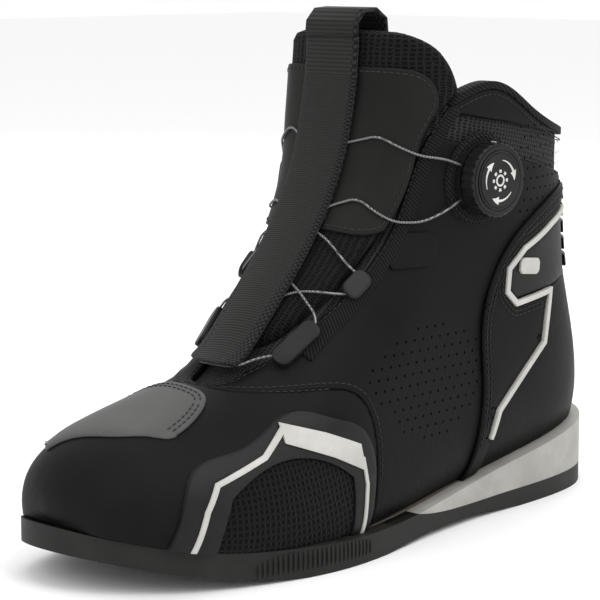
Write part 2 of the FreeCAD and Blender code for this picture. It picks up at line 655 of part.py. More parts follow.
# ---- lace, guides and dial --------------------------------------------------
def rounded_wire(points):
    """Straight runs joined by tangent arcs as large as the runs allow."""
    edges = []
    radii = []
    start = points[0]
    for i in range(1, len(points) - 1):
        before, here, after = points[i - 1], points[i], points[i + 1]
        into = (here - before).normalize()
        out = (after - here).normalize()
        turn = into.getAngle(out)
        reach = 0.45 * min((here - before).Length, (after - here).Length)
        radii.append(reach / math.tan(turn / 2))
        a = here - into * reach
        b = here + out * reach
        bisector = (out - into).normalize()
        mid = here + bisector * (radii[-1] / math.cos(turn / 2) - radii[-1])
        edges.append(Part.LineSegment(start, a).toShape())
        edges.append(Part.Arc(a, mid, b).toShape())
        start = b
    edges.append(Part.LineSegment(start, points[-1]).toShape())
    return Part.Wire(edges), radii


def tube(points, diameter):
    wire, radii = rounded_wire(points)
    heading = (points[1] - points[0]).normalize()
    circle = Part.Wire([Part.makeCircle(diameter / 2, points[0], heading)])
    solid = wire.makePipeShell([circle], True, True)
    return solid, wire, radii


def lace_points():
    return [skin_point(*step)[0] for step in LACE_ROUTE]


def frame_matrix(origin, along, outward):
    across = outward.cross(along).normalize()
    along = across.cross(outward).normalize()
    m = FreeCAD.Matrix(
        along.x, across.x, outward.x, origin.x,
        along.y, across.y, outward.y, origin.y,
        along.z, across.z, outward.z, origin.z, 0, 0, 0, 1)
    return m


def make_guides(channel):
    pieces = {}
    for name, low, high, side, length in GUIDES:
        middle = ((low[0] + high[0]) / 2, (low[1] + high[1]) / 2)
        origin, outward = skin_point("side", middle[0], middle[1], side, 0.0)
        end, _ = skin_point("side", high[0], high[1], side, 0.0)
        block = Part.makeBox(length, GUIDE_WIDTH, GUIDE_HEIGHT + 3, Vec(-length / 2, -GUIDE_WIDTH / 2, -3))
        upright = [e for e in block.Edges if abs(e.tangentAt(e.FirstParameter).z) > 0.9]
        block = block.makeFillet(GUIDE_WIDTH * 0.42, upright)
        top = [e for e in block.Edges if e.BoundBox.ZMin > GUIDE_HEIGHT - 0.01]
        block = block.makeFillet(0.9, top)
        block.Placement = FreeCAD.Placement(frame_matrix(origin, end - origin, outward))
        block = block.cut(last(GLUE_GAP)).cut(channel)
        pieces[name] = block
    return pieces


def make_dial(channel):
    origin, outward = skin_point("side", DIAL_CENTRE[0], DIAL_CENTRE[1], 1, 0.0)
    outward = Vec(outward.x, outward.y, 0).normalize()
    pieces = {}

    def disc(diameter, low, high):
        return Part.makeCylinder(diameter / 2, high - low, origin + outward * low, outward)

    inner = DIAL_BASE_DIAMETER - 2 * DIAL_WALL
    pieces["dial_flange"] = overlay(OVERLAY_THICKNESS).common(disc(DIAL_FLANGE_DIAMETER, -8, 8))
    skirt = disc(DIAL_DIAMETER, -6, DIAL_BASE_RIM)
    base = skirt.fuse(disc(DIAL_BASE_DIAMETER, -6, DIAL_BASE_TOP))
    base = base.cut(disc(inner, SPOOL_FLOOR - 0.25, DIAL_BASE_TOP + 1))
    post_top = SPOOL_TOP + 0.5
    post = disc(POST_DIAMETER, 0, post_top)
    base = base.fuse(post).cut(last(OVERLAY_THICKNESS + 2 * GLUE_GAP))
    screw_hole = disc(SCREW_DIAMETER + 0.1, 2.0, post_top + 1)
    base = base.cut(screw_hole).cut(channel)
    pieces["dial_base"] = base

    tooth_ring_low = SPOOL_TOP + 0.35
    ratchet = disc(inner - 0.02, tooth_ring_low, DIAL_BASE_TOP)
    ratchet = ratchet.cut(disc(SPOOL_FLANGE_DIAMETER + 1.2, tooth_ring_low - 1, DIAL_BASE_TOP + 1))
    side_axis = outward.cross(Vec(0, 0, 1)).normalize()
    notches = []
    for i in range(RATCHET_TEETH):
        foot = origin + outward * (tooth_ring_low - 0.5) + side_axis * (SPOOL_FLANGE_DIAMETER / 2 + 0.6)
        notch = Part.makeCylinder(TOOTH_RADIUS, 3, foot, outward)
        notch.rotate(origin, outward, i * 360 / RATCHET_TEETH)
        notches.append(notch)
    pieces["dial_ratchet_ring"] = ratchet.cut(Part.makeCompound(notches))

    spool = disc(SPOOL_FLANGE_DIAMETER, SPOOL_FLOOR, SPOOL_FLOOR + SPOOL_FLANGE)
    spool = spool.fuse(disc(SPOOL_DRUM_DIAMETER, SPOOL_FLOOR, SPOOL_TOP))
    spool = spool.fuse(disc(SPOOL_FLANGE_DIAMETER, SPOOL_TOP - SPOOL_FLANGE, SPOOL_TOP))
    spool = spool.cut(disc(POST_DIAMETER + 2 * POST_CLEARANCE, 0, SPOOL_TOP + 1))
    pieces["dial_spool"] = spool

    head_low = post_top
    head_high = head_low + 1.3
    screw = disc(SCREW_HEAD_DIAMETER, head_low, head_high).fuse(disc(SCREW_DIAMETER, 2.3, head_low))
    slot = Part.makeBox(8, 1.0, 1.4, Vec(-4, -0.5, head_high - 0.6))
    slot.Placement = FreeCAD.Placement(frame_matrix(origin, Vec(0, 0, 1), outward))
    pieces["dial_screw"] = screw.cut(slot)

    roof = DIAL_KNOB_TOP - DIAL_TOP_WALL
    knob = disc(DIAL_DIAMETER, DIAL_KNOB_LOW, DIAL_KNOB_TOP)
    rim = [e for e in knob.Edges if e.BoundBox.DiagonalLength > 1 and
           abs((e.CenterOfMass - origin).dot(outward) - DIAL_KNOB_TOP) < 0.01]
    knob = knob.makeFillet(0.9, rim)
    knob = knob.cut(disc(DIAL_BASE_DIAMETER + 2 * DIAL_PLAY, DIAL_KNOB_LOW - 1, roof))
    grips = []
    for i in range(KNOB_GRIPS):
        foot = origin + outward * (DIAL_KNOB_LOW - 1) + side_axis * (DIAL_DIAMETER / 2 + 0.35)
        grip = Part.makeCylinder(GRIP_RADIUS, DIAL_KNOB_TOP, foot, outward)
        grip.rotate(origin, outward, i * 360 / KNOB_GRIPS)
        grips.append(grip)
    pieces["dial_knob"] = knob.cut(Part.makeCompound(grips))
    pawl = disc(SPOOL_FLANGE_DIAMETER - 0.4, tooth_ring_low, roof)
    pieces["dial_pawl"] = pawl.cut(disc(SCREW_HEAD_DIAMETER + 0.8, tooth_ring_low - 1, roof + 1))
    pieces["dial_cap"] = disc(CAP_DIAMETER, DIAL_KNOB_TOP, DIAL_KNOB_TOP + CAP_THICKNESS)
    return pieces, origin, outward


# ---- assembly -----------------------------------------------------------
def make_boot():
    route = lace_points()
    lace, wire, radii = tube(route, LACE_DIAMETER)
    print("lace length %.1f" % wire.Length, "smallest bend %.1f" % min(radii))
    print("lace volume share %.3f" % (lace.Volume / (wire.Length * math.pi * LACE_DIAMETER ** 2 / 4)))
    channel, _, _ = tube(route, LACE_DIAMETER + 2 * LACE_PLAY)
    pieces = {}
    pieces.update(make_sole())
    pieces.update(make_upper())
    pieces.update(make_inside())
    pieces.update(make_trim())
    pieces.update(make_side_armour())
    pieces.update(make_tongue())
    pieces.update(make_gussets())
    pieces["lace"] = lace
    pieces.update(make_guides(channel))
    dial, origin, outward = make_dial(channel)
    pieces.update(dial)
    for side in ("lateral", "medial"):
        pieces["flex_ribs"] = pieces["flex_ribs"].cut(pieces["ankle_plate_" + side])
        binding = pieces["throat_binding_" + side].cut(channel)
        pieces["throat_binding_" + side] = binding
        for level in ("upper", "middle", "lower"):
            guide = "lace_guide_" + level + "_" + side
            if guide in pieces:
                pieces[guide] = pieces[guide].cut(binding)
    pieces["lace_tab"] = pieces["lace_tab"].cut(pieces["throat_binding_lateral"])
    pieces["lace_guide_upper_medial"] = pieces["lace_guide_upper_medial"].cut(tongue_zone(-TONGUE_CLEARANCE))
    return pieces, origin, outward


def centred(pieces):
    """Move all pieces so that the origin is under the middle of the boot."""
    box = Part.makeCompound(list(pieces.values())).optimalBoundingBox(True)
    shift = Vec(-(box.XMin + box.XMax) / 2, -(box.YMin + box.YMax) / 2, -box.ZMin)
    return {name: piece.translated(shift) for name, piece in pieces.items()}, shift


PIECES, DIAL_ORIGIN, DIAL_AXIS = make_boot()
PIECES, SHIFT = centred(PIECES)
os.makedirs("parts", exist_ok=True)
for name, piece in PIECES.items():
    piece.exportStep("parts/" + name + ".step")
    print("%-28s solids %d volume %9.1f valid %s" % (name, len(piece.Solids), piece.Volume, piece.isValid()))
print("shift", SHIFT, "dial", DIAL_ORIGIN + SHIFT, "axis", DIAL_AXIS)
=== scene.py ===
import json
import math

import bmesh
import bpy
import numpy as np
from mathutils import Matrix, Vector
from mathutils.bvhtree import BVHTree
from mathutils.geometry import delaunay_2d_cdt


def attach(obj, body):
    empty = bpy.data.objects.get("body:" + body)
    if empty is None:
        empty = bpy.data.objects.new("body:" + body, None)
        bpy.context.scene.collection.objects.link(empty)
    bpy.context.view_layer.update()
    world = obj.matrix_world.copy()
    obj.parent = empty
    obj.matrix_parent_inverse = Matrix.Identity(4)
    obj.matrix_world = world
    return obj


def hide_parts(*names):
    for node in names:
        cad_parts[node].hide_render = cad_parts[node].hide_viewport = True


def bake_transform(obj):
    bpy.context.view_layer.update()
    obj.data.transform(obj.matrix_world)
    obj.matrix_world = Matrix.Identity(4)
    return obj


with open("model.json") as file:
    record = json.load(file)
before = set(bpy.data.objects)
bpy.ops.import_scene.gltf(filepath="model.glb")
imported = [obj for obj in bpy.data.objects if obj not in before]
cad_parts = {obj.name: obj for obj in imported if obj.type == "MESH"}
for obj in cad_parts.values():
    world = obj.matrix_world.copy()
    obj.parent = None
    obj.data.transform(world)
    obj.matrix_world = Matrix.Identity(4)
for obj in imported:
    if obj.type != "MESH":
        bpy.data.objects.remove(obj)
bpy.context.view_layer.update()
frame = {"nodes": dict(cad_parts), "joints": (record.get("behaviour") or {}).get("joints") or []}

MM = 0.001
bpy.ops.object.select_all(action="DESELECT")

# ---------------------------------------------------------------------------
# Camera: a three-quarter view of the outer front, a little above the floor,
# aimed at the middle of the boot from 0.9 m with a long lens.
VIEW_TARGET = Vector((0.021, -0.002, 0.098))
VIEW_AZIMUTH = 134.0
VIEW_ELEVATION = 9.0
VIEW_DISTANCE = 0.9
LENS_LENGTH = 130.5
SENSOR_WIDTH = 36.0


def direction(azimuth, elevation):
    """Unit vector away from the boot; azimuth 90 is the toe side, 180 the outer side."""
    a = math.radians(azimuth)
    e = math.radians(elevation)
    return Vector((math.sin(a) * math.cos(e), -math.cos(a) * math.cos(e), math.sin(e)))


away = direction(VIEW_AZIMUTH, VIEW_ELEVATION)
bpy.ops.object.camera_add(location=VIEW_TARGET + away * VIEW_DISTANCE)
camera = bpy.context.object
camera.rotation_euler = (-away).to_track_quat("-Z", "Y").to_euler()
camera.data.lens = LENS_LENGTH
camera.data.sensor_width = SENSOR_WIDTH
camera.data.clip_start = 0.01
bpy.context.scene.camera = camera

# ---------------------------------------------------------------------------
# Studio: a plain pale floor and wide soft lights, a large key in front of the
# outer side, a fill at the toe, one overhead and one behind, and white air.
bpy.ops.mesh.primitive_plane_add(size=12.0, location=(0, 0, 0))
floor = bpy.context.object
floor.name = "studio_floor"
floor_paint = bpy.data.materials.new("studio_floor_paint")
floor_paint.use_nodes = True
floor_shader = floor_paint.node_tree.nodes["Principled BSDF"]
floor_shader.inputs["Base Color"].default_value = (0.93, 0.93, 0.93, 1)
floor_shader.inputs["Roughness"].default_value = 0.9
floor.data.materials.append(floor_paint)


def soft_light(name, azimuth, elevation, distance, size, power):
    """A square area light that looks at the middle of the boot."""
    place = direction(azimuth, elevation)
    bpy.ops.object.light_add(type="AREA", location=VIEW_TARGET + place * distance)
    light = bpy.context.object
    light.name = name
    light.data.size = size
    light.data.energy = power
    light.rotation_euler = (-place).to_track_quat("-Z", "Y").to_euler()


soft_light("key_light", azimuth=185, elevation=45, distance=1.5, size=0.8, power=7)
soft_light("fill_light", azimuth=95, elevation=40, distance=1.6, size=0.9, power=4)
soft_light("top_light", azimuth=140, elevation=82, distance=1.5, size=1.0, power=4)
soft_light("rear_light", azimuth=300, elevation=35, distance=1.6, size=0.8, power=4)
air = bpy.data.worlds.new("studio_air")
air.use_nodes = True
air.node_tree.nodes["Background"].inputs["Color"].default_value = (1, 1, 1, 1)
air.node_tree.nodes["Background"].inputs["Strength"].default_value = 1.0
bpy.context.scene.world = air
bpy.context.scene.view_settings.view_transform = "Standard"
bpy.ops.object.select_all(action="DESELECT")

# ---------------------------------------------------------------------------
# Leather shell: vamp, two quarters, heel counter cover and rear flex panel,
# 2 mm matt black cowhide, cut flat and sewn. Each is laid over its CAD node on
# an even grid, with its cut edge rounded and its seam rows pressed in.
HINGE = next(joint for joint in frame["joints"] if joint["name"] == "tongue_tilt")
BEND_X, CORE_Y = (value / MM for value in HINGE["pos_m"][:2])
SHIFT_X = BEND_X - 85
BEND_Z = 190.0
BEND = 160.0
MEAN_RADIUS = 45.0
TOE_CORE = np.array([BEND_X - 4.0, CORE_Y, 14.0])
IN_MM = (1000, 1000, 1000)
JOIN_GAP = 0.004
RIM_STEP = 1.1
RAY_REACH = 200
SEAM_SPREAD = 0.45
UNDERSIDE_STEP = 5.0


def leg_flat(points, behind):
    """Flattens points (mm) to length along the line of foot and leg, and length round it."""
    x, y, z = points.T
    dx, dz = x - BEND_X, z - BEND_Z
    quarter = BEND * math.pi / 2
    along = np.where(x > BEND_X, -dx, np.where(z > BEND_Z, quarter + dz, BEND * np.arctan2(-dx, -dz)))
    lift = np.where(x > BEND_X, dz + BEND, np.where(z > BEND_Z, dx + BEND, BEND - np.hypot(dx, dz)))
    turn = np.arctan2(y - CORE_Y, lift)
    if behind:
        turn = np.mod(turn, 2 * math.pi)
    return np.column_stack([along, turn * MEAN_RADIUS])


def leg_ray(along, around):
    """Start and direction of the ray from the foot-and-leg line through a flattened spot."""
    swing = min(max(along / BEND, 0.0), math.pi / 2)
    lift = Vector((math.sin(swing), 0, math.cos(swing)))
    start = Vector((BEND_X, CORE_Y, BEND_Z)) - lift * BEND
    start += Vector((max(-along, 0.0), 0, max(along - BEND * math.pi / 2, 0.0)))
    turn = around / MEAN_RADIUS
    return start, lift * math.cos(turn) + Vector((0, math.sin(turn), 0))


def toe_flat(points, behind):
    """Flattens points (mm) of the toe box about its core, its top in the middle; called like leg_flat."""
    arm = points - TOE_CORE
    fall = np.arccos(arm[:, 2] / np.linalg.norm(arm, axis=1)) * MEAN_RADIUS
    turn = np.arctan2(arm[:, 1], arm[:, 0])
    return np.column_stack([fall * np.cos(turn), fall * np.sin(turn)])


def toe_ray(along, around):
    """Start and direction of the ray from the toe core through a flattened spot."""
    fall = math.hypot(along, around) / MEAN_RADIUS
    turn = math.atan2(around, along)
    side = Vector((math.cos(turn), math.sin(turn), 0)) * math.sin(fall)
    return Vector(TOE_CORE), side + Vector((0, 0, math.cos(fall)))


class Skin:
    """The outer face of a CAD node: what a leather or plastic piece is laid on."""

    def __init__(self, node, toe=False, behind=False, facing=0.4):
        """Keeps the faces that look away from the core, and the closed rims round them."""
        self.flat, self.ray = (toe_flat, toe_ray) if toe else (leg_flat, leg_ray)
        self.behind = behind
        shape = bmesh.new()
        shape.from_mesh(frame["nodes"][node].data)
        bmesh.ops.scale(shape, vec=IN_MM, verts=shape.verts)
        bmesh.ops.remove_doubles(shape, verts=shape.verts, dist=JOIN_GAP)
        shape.normal_update()
        kept = {f.index: f for f in shape.faces
                if f.normal.dot(self.out(f.calc_center_median())) > facing}
        follow = {}
        for f in kept.values():
            for corner in f.loops:
                twin = [g for g in corner.edge.link_faces if g.index != f.index and g.index in kept]
                if not twin:
                    follow.setdefault(corner.vert.index, []).append(corner.link_loop_next.vert.index)
        shape.verts.ensure_lookup_table()
        places = [v.co.copy() for v in shape.verts]
        self.tree = BVHTree.FromPolygons(places, [[v.index for v in f.verts] for f in kept.values()])
        self.rims = []
        while follow:
            first = next(iter(follow))
            chain = [first]
            spot = first
            while spot in follow:
                step = follow[spot].pop()
                if not follow[spot]:
                    del follow[spot]
                spot = step
                if spot == first:
                    break
                chain.append(spot)
            ring = np.array([places[i] for i in chain])
            if len(ring) > 3 and np.linalg.norm(ring - np.roll(ring, 1, axis=0), axis=1).sum() > 12:
                self.rims.append(even_ring(ring, RIM_STEP))
        shape.free()

    def out(self, place):
        """Direction away from the core at a place."""
        along, around = self.flat(np.array([place]), self.behind)[0]
        return self.ray(along, around)[1]

    def spot(self, along, around):
        """Point and normal on the face for a flattened spot."""
        start, way = self.ray(along, around)
        place, normal, index, far = self.tree.ray_cast(start, way)
        return (place, normal) if place is not None and far < RAY_REACH else (None, None)

    def near(self, place):
        """Closest point and normal on the face."""
        return self.tree.find_nearest(Vector(place))[:2]


def even_ring(ring, step):
    """A closed line with points about one step apart that keeps its corners."""
    points = []
    for a, b in zip(ring, np.roll(ring, -1, axis=0)):
        gap = np.linalg.norm(b - a)
        if gap < 0.12:
            continue
        count = max(1, int(round(gap / step)))
        points.extend(a + (b - a) * k / count for k in range(count))
    kept = [points[0]]
    for p in points[1:]:
        if np.linalg.norm(p - kept[-1]) > 0.45 * step:
            kept.append(p)
    return np.array(kept)


def rim_distance(points, rims):
    """Distance of each point (mm) to the nearest rim."""
    starts = np.vstack(rims)
    ends = np.vstack([np.roll(r, -1, axis=0) for r in rims])
    run = ends - starts
    size = np.maximum((run ** 2).sum(axis=1), 1e-9)
    found = np.empty(len(points))
    batch = 400
    for k in range(0, len(points), batch):
        block = points[k:k + batch, None, :] - starts[None]
        share = np.clip((block * run[None]).sum(axis=2) / size, 0, 1)
        gap = ((block - share[..., None] * run[None]) ** 2).sum(axis=2)
        found[k:k + batch] = np.sqrt(gap).min(axis=1)
    return found


def inset_line(skin, rim, depth):
    """Points on the face a set depth inside a rim, None where the rim turns too tightly."""
    before = np.roll(rim, 1, axis=0)
    after = np.roll(rim, -1, axis=0)
    line = []
    for p, a, b in zip(rim, before, after):
        place, normal = skin.near(p)
        inward = normal.cross(Vector(b - a)).normalized()
        found, normal = skin.near(Vector(p) + inward * depth)
        line.append(np.array(found))
    line = np.array(line)
    far = rim_distance(line, skin.rims)
    return [p if d > 0.9 * depth else None for p, d in zip(line, far)]


def inside(points, rims):
    """Whether each flattened point lies inside the rims, holes left out."""
    odd = np.zeros(len(points), dtype=bool)
    for ring in rims:
        ends = np.roll(ring, -1, axis=0)
        for (xa, ya), (xb, yb) in zip(ring, ends):
            if ya == yb:
                continue
            between = (ya > points[:, 1]) != (yb > points[:, 1])
            odd ^= between & (points[:, 0] < (xb - xa) * (points[:, 1] - ya) / (yb - ya) + xa)
    return odd


def laid_grid(skin, rims, step, rows):
    """Flattened points of a cover: rims first, then rows beside them, then an even grid."""
    flat_rims = [skin.flat(r, skin.behind) for r in rims]
    every = np.vstack(flat_rims)
    low, high = every.min(axis=0), every.max(axis=0)
    grid = []
    count = int((high[1] - low[1]) / step) + 2
    for j in range(count):
        shift = 0.5 * step * (j % 2)
        xs = np.arange(low[0] + shift, high[0] + step, step)
        grid.extend((x, low[1] + j * step) for x in xs)
    grid = np.array(grid)
    grid = grid[inside(grid, flat_rims)]
    spots = [skin.spot(*g) for g in grid]
    keep = [k for k, s in enumerate(spots) if s[0] is not None]
    places = np.array([spots[k][0] for k in keep]).reshape(-1, 3)
    gap = rim_distance(places, rims) if len(places) else np.array([])
    limit = max([0.5 * step, *[r + 0.35 for r in rows]])
    chosen = [k for k, g in zip(keep, gap) if g > limit]
    extra = []
    for depth in rows:
        for rim in rims:
            extra.extend(p for p in inset_line(skin, rim, depth) if p is not None)
    flat_extra = skin.flat(np.array(extra), skin.behind) if extra else np.zeros((0, 2))
    return flat_rims, np.vstack([*flat_rims, flat_extra, grid[chosen]])


def triangles(flat_rims, points):
    """Triangles of a flattened cover, without its holes, wound with a common side up."""
    edges = []
    start = 0
    for ring in flat_rims:
        edges.extend((start + k, start + (k + 1) % len(ring)) for k in range(len(ring)))
        start += len(ring)
    found = delaunay_2d_cdt([Vector(p) for p in points], edges, [], 0, 1e-4)
    spots = np.array([tuple(v) for v in found[0]])
    faces = np.array([list(f) for f in found[2] if len(f) == 3])
    middle = spots[faces].mean(axis=1)
    a, b, c = spots[faces[:, 0]], spots[faces[:, 1]], spots[faces[:, 2]]
    area = (b[:, 0] - a[:, 0]) * (c[:, 1] - a[:, 1]) - (b[:, 1] - a[:, 1]) * (c[:, 0] - a[:, 0])
    good = inside(middle, flat_rims) & (np.abs(area) > 1e-5)
    return spots, [tuple(f) if s > 0 else tuple(f[::-1]) for f, s in zip(faces[good], area[good])]


def cover(name, node, thickness, edge=0.7, seams=(), seam_depth=0.18, step=1.7, puff=0.0,
          toe=False, behind=False):
    """A sheet piece laid over a CAD node: even grid, rounded edge, pressed seam rows, closed underside."""
    skin = Skin(node, toe, behind)
    rows = [edge * 0.3, edge, *[s + d for s in seams for d in (-SEAM_SPREAD, 0.0, SEAM_SPREAD)]]
    flat_rims, points = laid_grid(skin, skin.rims, step, rows)
    spots, faces = triangles(flat_rims, points)
    rim_all = np.vstack(skin.rims)
    flat_all = skin.flat(rim_all, skin.behind)
    places = []
    normals = []
    for s in spots:
        place, normal = skin.spot(*s)
        if place is None:
            guess = rim_all[np.argmin(((flat_all - s) ** 2).sum(axis=1))]
            place, normal = skin.near(guess)
        places.append(place)
        normals.append(normal)
    places = np.array(places)
    normals = np.array(normals)
    depth = rim_distance(places, skin.rims)
    short = np.clip(edge - depth, 0, edge)
    height = -(edge - np.sqrt(np.maximum(edge ** 2 - short ** 2, 0)))
    for s in seams:
        height -= seam_depth * np.exp(-((depth - s) / SEAM_SPREAD) ** 2)
    height -= puff * np.exp(-depth / 4.0)
    shape = bmesh.new()
    top = [shape.verts.new(p + n * h) for p, n, h in zip(places, normals, height)]
    mapped = shape.loops.layers.uv.new("UVMap")
    one, two, three = (Vector(places[i]) for i in faces[0])
    flip = 1 if Vector(normals[faces[0][0]]).dot((two - one).cross(three - one)) > 0 else -1
    for f in faces:
        made = shape.faces.new([top[i] for i in f[::flip]])
        made.smooth = True
        for corner, i in zip(made.loops, f[::flip]):
            corner[mapped].uv = spots[i]
    inner = [v for v, d in zip(top, depth) if d > edge + 0.3]
    for turn in range(2):
        bmesh.ops.smooth_vert(shape, verts=inner, factor=0.5,
                              use_axis_x=True, use_axis_y=True, use_axis_z=True)
    coarse_rims, coarse = laid_grid(skin, skin.rims, UNDERSIDE_STEP, [])
    low_spots, low_faces = triangles(coarse_rims, coarse)
    low = []
    rim_count = len(rim_all)
    for k, s in enumerate(low_spots):
        place, normal = skin.near(rim_all[k]) if k < rim_count else skin.spot(*s)
        if place is None:
            place, normal = skin.near(rim_all[0])
        low.append(shape.verts.new(place - normal * thickness))
    for f in low_faces:
        made = shape.faces.new([low[i] for i in f[::-flip]])
        made.smooth = True
        for corner, i in zip(made.loops, f[::-flip]):
            corner[mapped].uv = low_spots[i]
    start = 0
    for rim in skin.rims:
        for k in range(len(rim)):
            a = start + k
            b = start + (k + 1) % len(rim)
            quad = [top[a], low[a], low[b], top[b]][::flip]
            try:
                made = shape.faces.new(quad)
                made.smooth = True
                for corner in made.loops:
                    corner[mapped].uv = spots[a]
            except ValueError:
                pass
        start += len(rim)
    bmesh.ops.recalc_face_normals(shape, faces=shape.faces)
    return new_piece(name, shape), skin


def new_piece(name, shape):
    """Object made from a shape in mm, at the origin."""
    bmesh.ops.scale(shape, vec=(MM, MM, MM), verts=shape.verts)
    mesh = bpy.data.meshes.new(name)
    shape.to_mesh(mesh)
    shape.free()
    piece = bpy.data.objects.new(name, mesh)
    bpy.context.scene.collection.objects.link(piece)
    return piece


def add(tree, kind, inputs=None, **settings):
    """A new shader node with its settings made and its inputs set or linked."""
    made = tree.nodes.new(kind)
    for key, value in settings.items():
        setattr(made, key, value)
    for key, value in (inputs or {}).items():
        if isinstance(value, bpy.types.NodeSocket):
            tree.links.new(value, made.inputs[key])
        else:
            made.inputs[key].default_value = value
    return made


def ramp(tree, fac, stops):
    """A colour ramp from a mask: stops are pairs of place and grey level or colour."""
    made = add(tree, "ShaderNodeValToRGB", {"Fac": fac})
    row = made.color_ramp.elements
    for k, (place, colour) in enumerate(stops):
        spot = row[k] if k < 2 else row.new(place)
        spot.position = place
        spot.color = (*colour, 1) if isinstance(colour, tuple) else (colour, colour, colour, 1)
    return made.outputs["Color"]


def hide_grain_group():
    """Shared effect: pebbled hide grain with pores and creases, and a slow mottle."""
    group = bpy.data.node_groups.new("hide_grain", "ShaderNodeTree")
    group.interface.new_socket("Grain", in_out="INPUT", socket_type="NodeSocketFloat")
    group.interface.new_socket("Height", in_out="OUTPUT", socket_type="NodeSocketFloat")
    group.interface.new_socket("Mottle", in_out="OUTPUT", socket_type="NodeSocketFloat")
    given = group.nodes.new("NodeGroupInput").outputs["Grain"]
    where = group.nodes.new("ShaderNodeTexCoord").outputs["Object"]
    pebble = add(group, "ShaderNodeTexVoronoi", {"Vector": where, "Scale": given}, feature="SMOOTH_F1")
    fine_scale = add(group, "ShaderNodeMath", {0: given, 1: 2.7}, operation="MULTIPLY")
    fine = add(group, "ShaderNodeTexNoise", {"Vector": where, "Scale": fine_scale.outputs[0], "Detail": 4.0})
    slow = add(group, "ShaderNodeTexNoise", {"Vector": where, "Scale": 28.0, "Detail": 5.0})
    crease = add(group, "ShaderNodeTexNoise",
                 {"Vector": where, "Scale": 140.0, "Detail": 3.0, "Distortion": 1.2})
    low = add(group, "ShaderNodeMath", {0: pebble.outputs["Distance"], 1: -0.8}, operation="MULTIPLY")
    mid = add(group, "ShaderNodeMath", {0: fine.outputs[0], 1: 0.45, 2: low.outputs[0]},
              operation="MULTIPLY_ADD")
    grained = add(group, "ShaderNodeMath", {0: crease.outputs[0], 1: 0.9, 2: mid.outputs[0]},
                  operation="MULTIPLY_ADD")
    result = group.nodes.new("NodeGroupOutput")
    group.links.new(grained.outputs[0], result.inputs["Height"])
    group.links.new(slow.outputs[0], result.inputs["Mottle"])
    return group


HIDE_GRAIN = hide_grain_group()


def finish_material(name, roughness, specular=0.5, sheen=0.0, metallic=0.0):
    """A new material with its plain values on the shader itself; returns it, its tree and its shader."""
    made = bpy.data.materials.new(name)
    made.use_nodes = True
    tree = made.node_tree
    shader = tree.nodes["Principled BSDF"]
    shader.inputs["Roughness"].default_value = roughness
    shader.inputs["Specular IOR Level"].default_value = specular
    shader.inputs["Sheen Weight"].default_value = sheen
    shader.inputs["Metallic"].default_value = metallic
    return made, tree, shader


def bumped(tree, shader, height, strength, distance):
    """Raises the surface by a height that changes over it."""
    bump = add(tree, "ShaderNodeBump", {"Height": height, "Strength": strength, "Distance": distance})
    tree.links.new(bump.outputs["Normal"], shader.inputs["Normal"])


def leather(name, dark, light, grain=850.0, strength=0.5, rough=(0.46, 0.62)):
    """Coated hide: two close tones, grain in the bump and the gloss."""
    made, tree, shader = finish_material(name, 0.5, 0.10)
    grains = add(tree, "ShaderNodeGroup", node_tree=HIDE_GRAIN)
    grains.inputs["Grain"].default_value = grain
    colour = ramp(tree, grains.outputs["Mottle"], [(0.35, dark), (0.68, light)])
    tree.links.new(colour, shader.inputs["Base Color"])
    gloss = ramp(tree, grains.outputs["Mottle"], [(0.3, rough[0]), (0.7, rough[1])])
    tree.links.new(gloss, shader.inputs["Roughness"])
    bumped(tree, shader, grains.outputs["Height"], strength, 0.0002)
    return made


BLACK_HIDE = leather("black_hide", (0.0026, 0.0026, 0.0025), (0.0056, 0.0055, 0.0053))


def dress(piece, material, body, slot, *nodes):
    """Gives a piece its material and its body, and hides the CAD nodes it stands for; slot is not used."""
    piece.data.materials.clear()
    piece.data.materials.append(material)
    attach(piece, body)
    if nodes:
        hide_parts(*nodes)


HIDE_ROW = 2.4
SKINS = {}
for node, name, toe, behind in (
    ("vamp", "vamp_hide", True, False),
    ("quarter_lateral", "quarter_hide_outer", False, False),
    ("quarter_medial", "quarter_hide_inner", False, False),
    ("heel_counter_cover", "heel_counter_hide", False, True),
    ("rear_flex_panel", "rear_flex_hide", False, True),
):
    piece, SKINS[node] = cover(name, node, 1.9, edge=0.8, seams=(HIDE_ROW,), toe=toe, behind=behind)
    dress(piece, BLACK_HIDE, "boot", "leather", node)

# ---------------------------------------------------------------------------
# Sole: a black rubber cup outsole, a foam midsole inside it and a white
# rubber heel wedge, all moulded and cemented to the shell.
def smooth_by_angle(piece, degrees):
    """Shades a piece smooth, but for its edges sharper than an angle."""
    bpy.ops.object.select_all(action="DESELECT")
    piece.select_set(True)
    bpy.context.view_layer.objects.active = piece
    bpy.ops.object.shade_smooth_by_angle(angle=math.radians(degrees))
    piece.select_set(False)


